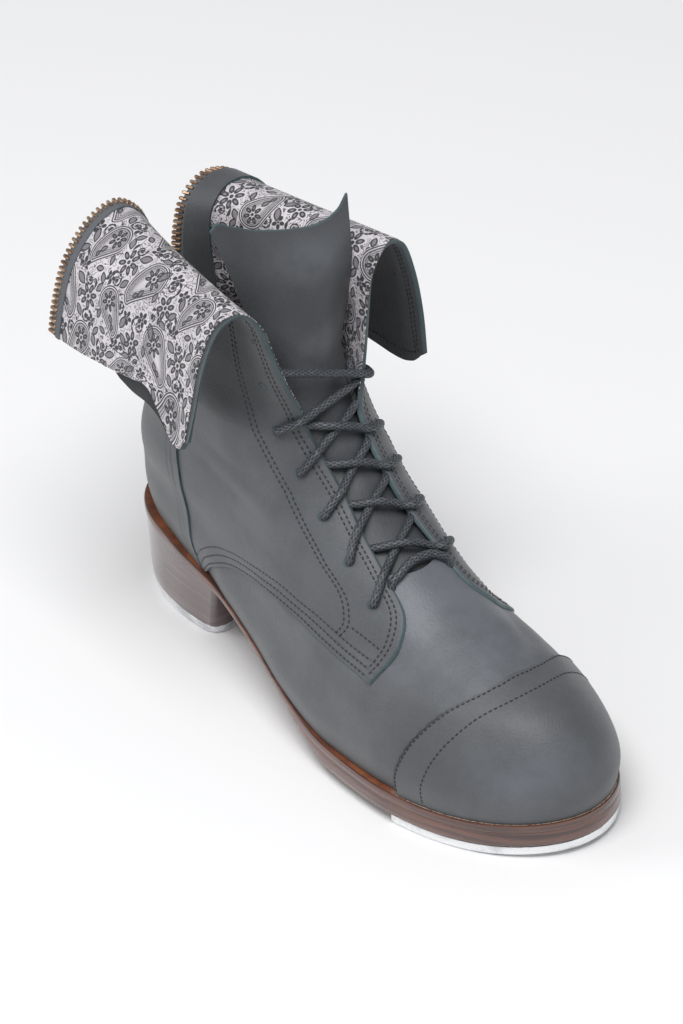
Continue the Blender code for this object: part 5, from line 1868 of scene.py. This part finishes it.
# %% Seam lines on the quarters
SEAM_LIFT = 0.1
SEAM_POINTS = 400                   # points that give a long seam its line
HEM_POINTS = 300
BAR_POINTS = 60
EDGE_ROWS = (1.9, 4.1)              # mm in from the face's front edge
HEM = 0.22                          # levels from the free edge to its stitch row
EYESTAY_GAP = 2.1                   # mm between the two rows of the eyestay
EYESTAY = table("level along", [
    (4.2, 0.890), (5.0, 0.888), (5.5, 0.876), (6.2, 0.859), (6.9, 0.845), (8.0, 0.834), (9.4, 0.825),
    (10.3, 0.825), (11.3, 0.820), (12.1, 0.808), (13.3, 0.800), (15.5, 0.800),
])
BAR_ROW = table("level along", [(4.95, 0.895), (4.73, 0.935), (4.45, 0.975)])


def mm_along(v, side):
    """Millimetres for one unit of along at the throat edge, on each level."""
    along, _ = upper_steps(np.full_like(v, 0.99), v, side)
    return np.linalg.norm(along, axis=-1)


def quarter_line(a, v, side, sunk=0.0):
    """Line on the quarter's face with its normals."""
    edge_name = LEATHER_EDGE[side]
    lift = QUARTER_STEP + SEAM_LIFT - sunk - ankle_troughs(a, v)
    return on_upper(a, v, side, lift, edge_name), upper_normal(a, v, side, edge_name)


def throat_row(side, inset, v_low, v_high=TOP_LEVEL - 0.15):
    """Line at a distance in from the throat edge."""
    v = np.linspace(v_low, v_high, SEAM_POINTS)
    return quarter_line(1.0 - inset / mm_along(v, side), v, side)


def lower_row(side, part):
    """One of the rows along the quarter's lower edge, in its own groove."""
    a = np.linspace(0.48, 0.99 - 0.02 * part, SEAM_POINTS)
    v = row_level(a, part)
    shown = v > SEAM_LOWEST
    return quarter_line(a[shown], v[shown], side, ROW_GROOVE)


def eyestay_row(side, behind):
    """One row of the eyestay, from the folded edge down to the lower rows."""
    v = np.linspace(EYESTAY["level"][0], EYESTAY["level"][-1], SEAM_POINTS)
    a = smooth_lookup(v, EYESTAY["level"], EYESTAY["along"])
    return quarter_line(a - behind / mm_along(np.minimum(v, COLLAR_LEVEL), side), v, side)


def bar_row(side):
    """Short row from the foot of the eyestay to the front edge."""
    part = np.linspace(0.0, len(BAR_ROW["level"]) - 1.0, BAR_POINTS)
    return quarter_line(smooth_rows(BAR_ROW["along"], part), smooth_rows(BAR_ROW["level"], part), side)


def hem_row(side):
    """Line along the free edge of the folded shaft half."""
    a = np.linspace(0.12, 0.97, HEM_POINTS)
    return quarter_line(a, np.full_like(a, TOP_LEVEL - HEM), side)


def quarter_seams(side):
    """All seams of one quarter."""
    lines = [throat_row(side, inset, 3.12 + 0.11 * inset) for inset in EDGE_ROWS]
    lines += [lower_row(side, part) for part in LOWER_ROWS]
    lines += [eyestay_row(side, behind) for behind in (0.0, EYESTAY_GAP)]
    return lines + [bar_row(side), hem_row(side)]


for side in (LATERAL, MEDIAL):
    points, faces = join_meshes([stitch_meshes(*line) for line in quarter_seams(side)])
    name = "stitches_quarter_" + SIDE_NAMES[side]
    stitches = add_piece(name, points, faces, (dark_thread,))
    print(name, "faces:", len(faces))

# %% Seam lines on the cap
CAP_STITCHES = ((1.6, 1.6), (14.0, 12.5))        # mm ahead of the cap's edge, at the sole and at the ridge
CAP_SEAM_LOW = 0.25
CAP_SEAM_POINTS = 220


def foot_line(angle, v, lift):
    """Line on the foot by angle and level, lifted along its normal."""
    normal = foot_normals(angle, v)
    return foot_loop(angle, v) + normal * lift, normal


def cap_row(low, high):
    """Line ahead of the cap's edge, up the outer side, over the ridge and down the inner side."""
    top = cap_top_level(high)
    v = CAP_SEAM_LOW + (top - CAP_SEAM_LOW) * (1.0 - np.linspace(1.0, 0.0, CAP_SEAM_POINTS) ** 1.8)
    row = level_row(v)
    ahead = low + (high - low) * ease(v, 0.0, top)
    half = loop_angle(np.minimum(cap_edge_x(v, ahead), row["front_x"]), row)
    angle = np.concatenate([half, 2.0 * math.pi - half[-2::-1]])
    return foot_line(angle, np.concatenate([v, v[-2::-1]]), CAP_HIGH + SEAM_LIFT)


points, faces = join_meshes([stitch_meshes(*cap_row(*ahead)) for ahead in CAP_STITCHES])
cap_stitches = add_piece("stitches_cap", points, faces, (dark_thread,))
print("cap stitches:", len(faces) // len(capsule()[1]))

# %% [markdown]
# ## Zip
# The back zip is open, so each half runs along one back edge: a woven tape, sewn under the lining,
# with a row of small metal teeth. A tooth is a rounded block; an array places one every 2.5 mm
# along the edge, turned with it. A leather guard lies beside the inner half.

# %% Zip tape
TAPE_INSIDE = 3.0
TAPE_OUTSIDE = 3.4
TAPE_LIFT = -0.45
TAPE_THICKNESS = 0.7
TAPE_TUCK = 1.12            # how deep the tape lies where the lining covers it
TAPE_POINTS = 260
ZIP_START = ZIP_LEVEL + 0.6


def zip_frame(side, count):
    """Points on the back edge with their normals and the direction away from the leather."""
    v = np.linspace(ZIP_START, TOP_LEVEL, count)
    edge = np.zeros_like(v)
    point = upper_point(edge, v, side)
    normal = upper_normal(edge, v, side)
    away = unit(point - upper_point(edge + 0.02, v, side))
    return point, normal, away


def tape_grid(side):
    """Tape strip from under the lining out past the edge."""
    point, normal, away = zip_frame(side, TAPE_POINTS)
    reach = np.minimum(TAPE_OUTSIDE, np.abs(point[:, 1]) - GAP)
    part = np.linspace(0.0, 1.0, 9)
    out = -TAPE_INSIDE + (reach + TAPE_INSIDE)[:, None] * part
    lift = -TAPE_TUCK + (TAPE_TUCK + TAPE_LIFT) * ease(out, -0.8, 1.2)
    base = point[:, None, :] + away[:, None, :] * out[..., None]
    face = base + normal[:, None, :] * (lift + 0.25)[..., None]
    back = base + normal[:, None, :] * (lift - TAPE_THICKNESS / 2)[..., None]
    return face, back


tape_cloth = two_tone("zip_tape_cloth", (200.0, 2200.0), "Fibre", (0.060, 0.066, 0.077), (0.16, 0.172, 0.19),
                      grain=(0.0003, 0.8), Roughness=0.8)
for side in (LATERAL, MEDIAL):
    face, back = tape_grid(side)
    tape = add_sheet("zip_tape_" + SIDE_NAMES[side], face, back, (tape_cloth, tape_cloth, tape_cloth))
    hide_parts("zip_" + SIDE_NAMES[side])
print("tape width:", TAPE_INSIDE + TAPE_OUTSIDE, "mm")

# %% Zip teeth
TOOTH_PITCH = 2.5
TOOTH = {"along": 1.6, "out": 4.3, "thick": 2.4}
TOOTH_MIDDLE = 3.1
TEETH_POINTS = 600
BLOCK_RINGS = table("out size", [(-0.5, 0.55), (-0.42, 0.9), (0.28, 1.0), (0.42, 0.85), (0.5, 0.5)])
BLOCK_CORNER = 0.62


def tooth_block():
    """Rounded block in unit size: octagon rings along its length, with points at both ends."""
    angle = np.radians([20, 70, 110, 160, 200, 250, 290, 340])
    corner = np.stack([np.sign(np.cos(angle)) * np.abs(np.cos(angle)) ** BLOCK_CORNER,
                       np.sign(np.sin(angle)) * np.abs(np.sin(angle)) ** BLOCK_CORNER], axis=-1) / 2
    rings = BLOCK_RINGS["size"][:, None, None] * corner[None]
    out = np.repeat(BLOCK_RINGS["out"][:, None, None], len(angle), axis=1)
    ring_points = np.concatenate([rings[..., :1], out, rings[..., 1:]], axis=-1).reshape(-1, 3)
    ends = np.array([[0.0, BLOCK_RINGS["out"][0], 0.0], [0.0, BLOCK_RINGS["out"][-1], 0.0]])
    return np.vstack([ring_points, ends]), capped_faces(len(rings), len(angle))


def teeth_mesh(side):
    """One tooth every pitch along the tape's outer edge, turned with it."""
    point, normal, away = zip_frame(side, TEETH_POINTS)
    run = run_length(point)
    at = np.arange(0.5 * TOOTH_PITCH, run[-1] - 1.0, TOOTH_PITCH)
    centre = read_line(at, run, point)
    up = unit(read_line(at, run, normal))
    out = unit(read_line(at, run, away))
    along = unit(np.cross(out, up))
    reach = np.minimum(TOOTH_MIDDLE, np.abs(centre[:, 1]) - TOOTH["out"] / 2 - 0.2)
    centre = centre + out * reach[:, None] + up * (TAPE_LIFT - 0.05)
    block, faces = tooth_block()
    sized = block * (TOOTH["along"], TOOTH["out"], TOOTH["thick"])
    return *placed_copies(sized, faces, centre, (along, out, up)), len(at)


brass = two_tone("antique_brass", (260.0, 1500.0), "Cloud", (0.24, 0.145, 0.09), (0.58, 0.41, 0.28),
                 Roughness=0.38, Metallic=0.9)
for side in (LATERAL, MEDIAL):
    points, faces, count = teeth_mesh(side)
    teeth = add_piece("zip_teeth_" + SIDE_NAMES[side], points, faces, (brass,))
    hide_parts("zip_" + SIDE_NAMES[side])
    print("teeth,", SIDE_NAMES[side], "half:", count)

# %% Zip guard
GUARD_WIDTH = 12.0
GUARD_THICKNESS = 1.0
GUARD_LIFT = -1.15
CREST_LENGTH = 96.0


def guard_grid():
    """Leather strip on the lining beside the inner zip half."""
    v = np.linspace(COLLAR_LEVEL + 1.0, TOP_LEVEL - 0.15, 190)
    a = np.linspace(0.4, GUARD_WIDTH, 18) / CREST_LENGTH
    aa, vv = np.meshgrid(a, v)
    face = on_upper(aa, vv, MEDIAL, np.full_like(aa, GUARD_LIFT - GUARD_THICKNESS))
    back = on_upper(aa, vv, MEDIAL, np.full_like(aa, GUARD_LIFT))
    none = np.zeros_like(aa)
    return face, back, {"wear_and_highlight": none, "dark": none + 0.25}


face, back, values = guard_grid()
guard = add_sheet("zip_guard_leather", face, back, panel_finish, values)
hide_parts("zip_guard")
print("guard quads:", len(guard.data.polygons))

# %% [markdown]
# ## Lace
# One round waxed cord runs through six holes a side in ordinary criss-cross: up out of a hole, over
# its own edge, across the tongue, under the other edge and up out of the next hole. The route is a
# list of points on the boot's own surface, joined by a smooth curve. The braid is a pattern of sines on
# the tube's own UV map, which counts turns round the cord and millimetres along it.

# %% Lace route
HOLE_LEVELS = {LATERAL: (6.1, 7.2, 8.45, 9.8, 11.2, 12.65), MEDIAL: (6.65, 7.8, 9.0, 10.1, 11.9, 12.1)}
# Levels that a strand has climbed where it crosses its own edge, and past the next hole where it dips under
OVER_EDGE = {LATERAL: (0.8, 0.9, 0.7, 0.6, 0.5), MEDIAL: (0.25, 0.25, 0.25, 0.25, 0.25)}
UNDER_EDGE = {LATERAL: (0.1, 0.1, 0.1, -0.6, -0.15), MEDIAL: (0.45, 0.4, 0.3, 0.2, 0.55)}
HOLE_INSET = 10.8
LACE_RADIUS = 1.75
# Lowest bar: side, place between the edge (1) and the ridge (2), level, and lift over the vamp
LACE_BAR = table("side along level lift", [
    (LATERAL, 1.0, 6.62, -0.8), (LATERAL, 1.12, 6.78, 1.3), (LATERAL, 1.4, 6.98, 1.9),
    (LATERAL, 1.7, 7.14, 2.1), (LATERAL, 2.0, 7.2, 2.2), (MEDIAL, 1.7, 7.16, 2.1),
    (MEDIAL, 1.4, 7.02, 1.9), (MEDIAL, 1.12, 6.72, 1.3), (MEDIAL, 1.0, 6.55, -0.8),
])
LACE_SINK = 0.5
LACE_CLEAR = 0.1
LACE_LIFT = QUARTER_STEP + LACE_RADIUS + LACE_CLEAR
CROSSING_PARTS = np.array([0.15, 0.32, 0.5, 0.68, 0.85])    # places of the route's points over the tongue
UNDER_LIFT = -2.6


def at_edge(level, side, inset, lift):
    """Point and normal at a distance in from the quarter's front edge."""
    v = np.array([float(level)])
    a = 1.0 - inset / mm_along(v, side)
    return on_upper(a, v, side, np.full(1, lift))[0], upper_normal(a, v, side)[0]


def edge_point(*place):
    """The same point without its normal."""
    return at_edge(*place)[0]


def clear_of_tongue(points, clear):
    """Moves points out along the tongue's normal at the nearest place, until they are clear of its face."""
    face = tongue_face.reshape(-1, 3)
    near = np.argmin(np.linalg.norm(points[:, None, :] - face[None], axis=-1), axis=1)
    out = grid_normals(tongue_face).reshape(-1, 3)[near]
    off = np.sum((points - face[near]) * out, axis=-1)
    return points + out * np.clip(clear - off, 0.0, None)[:, None]


def lace_arm(side, i):
    """Points from under one hole, out of it, over its edge and the tongue, to under the other edge."""
    low = HOLE_LEVELS[side][i]
    climb = OVER_EDGE[side][i]
    under = HOLE_LEVELS[-side][i + 1] + UNDER_EDGE[side][i]
    hole_under = edge_point(low, side, HOLE_INSET, UNDER_LIFT)
    hole_in = edge_point(low, side, HOLE_INSET - 0.3, 0.2)
    hole_out = edge_point(low + 0.1 * climb, side, HOLE_INSET - 1.8, LACE_LIFT - 0.35)
    middle = edge_point(low + 0.5 * climb, side, HOLE_INSET * 0.5, LACE_LIFT)
    edge = edge_point(low + climb, side, 0.0, LACE_LIFT)
    far = edge_point(under, -side, 0.0, -1.2)
    bridge = 2.0 * LACE_RADIUS - LACE_SINK if side == MEDIAL else 0.0
    clear = LACE_RADIUS + LACE_CLEAR + bridge * np.sin(math.pi * CROSSING_PARTS) ** 2
    across = clear_of_tongue(edge + (far - edge) * CROSSING_PARTS[:, None], clear)
    tucked = edge_point(under - 0.05, -side, 2.0, UNDER_LIFT)
    return np.vstack([hole_under, hole_in, hole_out, middle, edge, across, far, tucked])


def bar_points():
    """Lowest bar, arched over the vamp between the two quarters' edges, from outer to inner side."""
    rows = table_rows(LACE_BAR)
    return np.vstack([on_upper(*(np.array([row[key]]) for key in ("along", "level")), row["side"],
                               np.array([row["lift"]])) for row in rows])


def strand(start_side):
    """One half of the lace from its first hole up to its last, changing sides at each crossing."""
    points = []
    side = start_side
    for i in range(len(HOLE_LEVELS[side]) - 1):
        points.append(lace_arm(side, i))
        side = -side
    last_under = edge_point(HOLE_LEVELS[side][-1], side, HOLE_INSET, UNDER_LIFT)
    last_out = edge_point(HOLE_LEVELS[side][-1], side, HOLE_INSET - 0.2, 1.2)
    return np.vstack(points + [last_under, last_out])


lace_route = np.vstack([strand(LATERAL)[::-1], bar_points(), strand(MEDIAL)])
print("route points:", len(lace_route))

# %% Lace tube
LACE_SIDES = 20
LACE_STEP = 0.55
BRAID_PITCH = 3.0       # mm along the cord for one turn of the pattern
BRAID_STRANDS = 16


def dense_curve(points, step):
    """Smooth curve through points, read again at even steps of its length."""
    rows = np.linspace(0.0, len(points) - 1.0, 40 * len(points))
    curve = smooth_rows(points, rows)
    run = run_length(curve)
    at = np.linspace(0.0, run[-1], int(run[-1] / step) + 1)
    return read_line(at, run, curve), at


def steady_frames(curve):
    """Side and up directions carried along a curve with the least twist."""
    ahead = unit(np.gradient(curve, axis=0))
    up = np.zeros_like(curve)
    up[0] = unit(np.cross(np.cross(ahead[0], (0.0, 0.0, 1.0)), ahead[0]))
    for i in range(1, len(curve)):
        kept = up[i - 1] - ahead[i] * (up[i - 1] @ ahead[i])
        up[i] = kept / np.linalg.norm(kept)
    return np.cross(ahead, up), up


def lace_mesh(route):
    """Round tube along the route, closed at both ends; UV holds the turn round it and the mm along it."""
    curve, at = dense_curve(route, LACE_STEP)
    side, up = steady_frames(curve)
    turn = np.linspace(0.0, 1.0, LACE_SIDES + 1)
    angle = 2.0 * math.pi * turn
    ring = np.cos(angle)[None, :, None] * side[:, None, :] + np.sin(angle)[None, :, None] * up[:, None, :]
    points = curve[:, None, :] + ring * LACE_RADIUS
    points[0] = curve[0]
    points[-1] = curve[-1]
    uv = np.stack(np.broadcast_arrays(turn[None, :], at[:, None]), axis=-1)
    return points, grid_quads(*points.shape[:2]), uv.reshape(-1, 2), at[-1]


def make_braid_group():
    """Braid: the higher of two families of helical strands, sines of turn plus and minus length."""
    group, start, end = new_group("cord_braid", {"Strands": 16.0, "Pitch": 3.0}, ("Raised",))
    place = group.nodes.new("ShaderNodeSeparateXYZ")
    group.links.new(group.nodes.new("ShaderNodeTexCoord").outputs["UV"], place.inputs["Vector"])
    turn = times(group, place.outputs["X"], times(group, start.outputs["Strands"], math.pi))
    pitches = maths(group, "DIVIDE", place.outputs["Y"], start.outputs["Pitch"])
    run = times(group, pitches, 2.0 * math.pi)
    left = maths(group, "SINE", plus(group, turn, run), 0.0)
    right = maths(group, "SINE", minus(group, turn, run), 0.0)
    group.links.new(maths(group, "MAXIMUM", left, right), end.inputs["Raised"])
    return group


def braided_cord(name):
    """Waxed braid: dark slate blue with painted shade between the raised strands, and small pale flecks."""
    material, tree, shader = new_material(name, Roughness=0.48)
    nap = use_group(tree, nap_group, Cloud_Scale=650.0, Fibre_Scale=2600.0)
    braid = use_group(tree, make_braid_group(), Strands=BRAID_STRANDS, Pitch=BRAID_PITCH)["Raised"]
    raised = ramp(tree, braid, -0.4, 1.0)
    # painted shade: the grooves between the strands are darker than the raised strands
    colour = mix_colours(tree, raised, (0.016, 0.018, 0.022), (0.064, 0.071, 0.081))
    speckle = ramp(tree, nap["Cloud"], 0.45, 0.9, 0.0, 0.6)
    fleck = times(tree, ramp(tree, braid, 0.82, 1.0), speckle)
    colour = mix_colours(tree, fleck, colour, (0.24, 0.255, 0.275))
    tree.links.new(colour, shader.inputs["Base Color"])
    height = plus(tree, raised, times(tree, nap["Fibre"], 0.4))
    add_bump(tree, shader, height, 0.00012, 0.8)
    return material


lace_cord = braided_cord("braided_lace")
points, quads, uv, lace_length = lace_mesh(lace_route)
lace = add_piece("lace", points.reshape(-1, 3), quads, (lace_cord,), uv=uv, weld=True)
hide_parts("lace_bar", *[f"lace_cross_{i}" for i in range(1, 6)])
print("lace length:", round(float(lace_length)), "mm")

# %% [markdown]
# ## Lace holes
# The holes are punched, with no metal eyelet. Each shows a teal cut ring round the lace. A ring is a
# circle carried round the hole, set into the leather's face.

# %% Hole rings
HOLE_RADIUS = 1.85
SPARE_RADIUS = 0.8
RING_RADIUS = 0.3
RING_FLATTENED = 0.6
# Holes with no lace in them: side, level and mm in from the front edge
SPARE_HOLES = ((LATERAL, 14.18, 6.4), (MEDIAL, 18.34, 10.4), (MEDIAL, 19.39, 12.2))


def ring_mesh(centre, normal, radius, tube, around=28, section=8):
    """Ring: a small circle carried round a larger one that lies on the leather."""
    helper = unit(np.cross(normal, (1.0, 0.2, 0.1)))
    other = np.cross(normal, helper)
    turn = np.arange(around) * 2.0 * math.pi / around
    out = np.cos(turn)[:, None] * helper + np.sin(turn)[:, None] * other
    bend = np.arange(section) * 2.0 * math.pi / section
    points = (centre + out[:, None, :] * (radius + tube * np.cos(bend))[None, :, None]
              + normal * (tube * RING_FLATTENED * np.sin(bend))[None, :, None])
    return points.reshape(-1, 3), grid_quads(around, section, wrap=True, close=True)


rings = []
for side in (LATERAL, MEDIAL):
    for level in HOLE_LEVELS[side]:
        centre, normal = at_edge(level, side, HOLE_INSET, QUARTER_STEP)
        rings.append(ring_mesh(centre, normal, HOLE_RADIUS, RING_RADIUS))
for side, level, inset in SPARE_HOLES:
    centre, normal = at_edge(level, side, inset, QUARTER_STEP)
    rings.append(ring_mesh(centre, normal, SPARE_RADIUS, RING_RADIUS))
points, faces = join_meshes(rings)
hole_rings = add_piece("lace_hole_rings", points, faces, (teal_edge,))
print("hole rings:", len(rings))
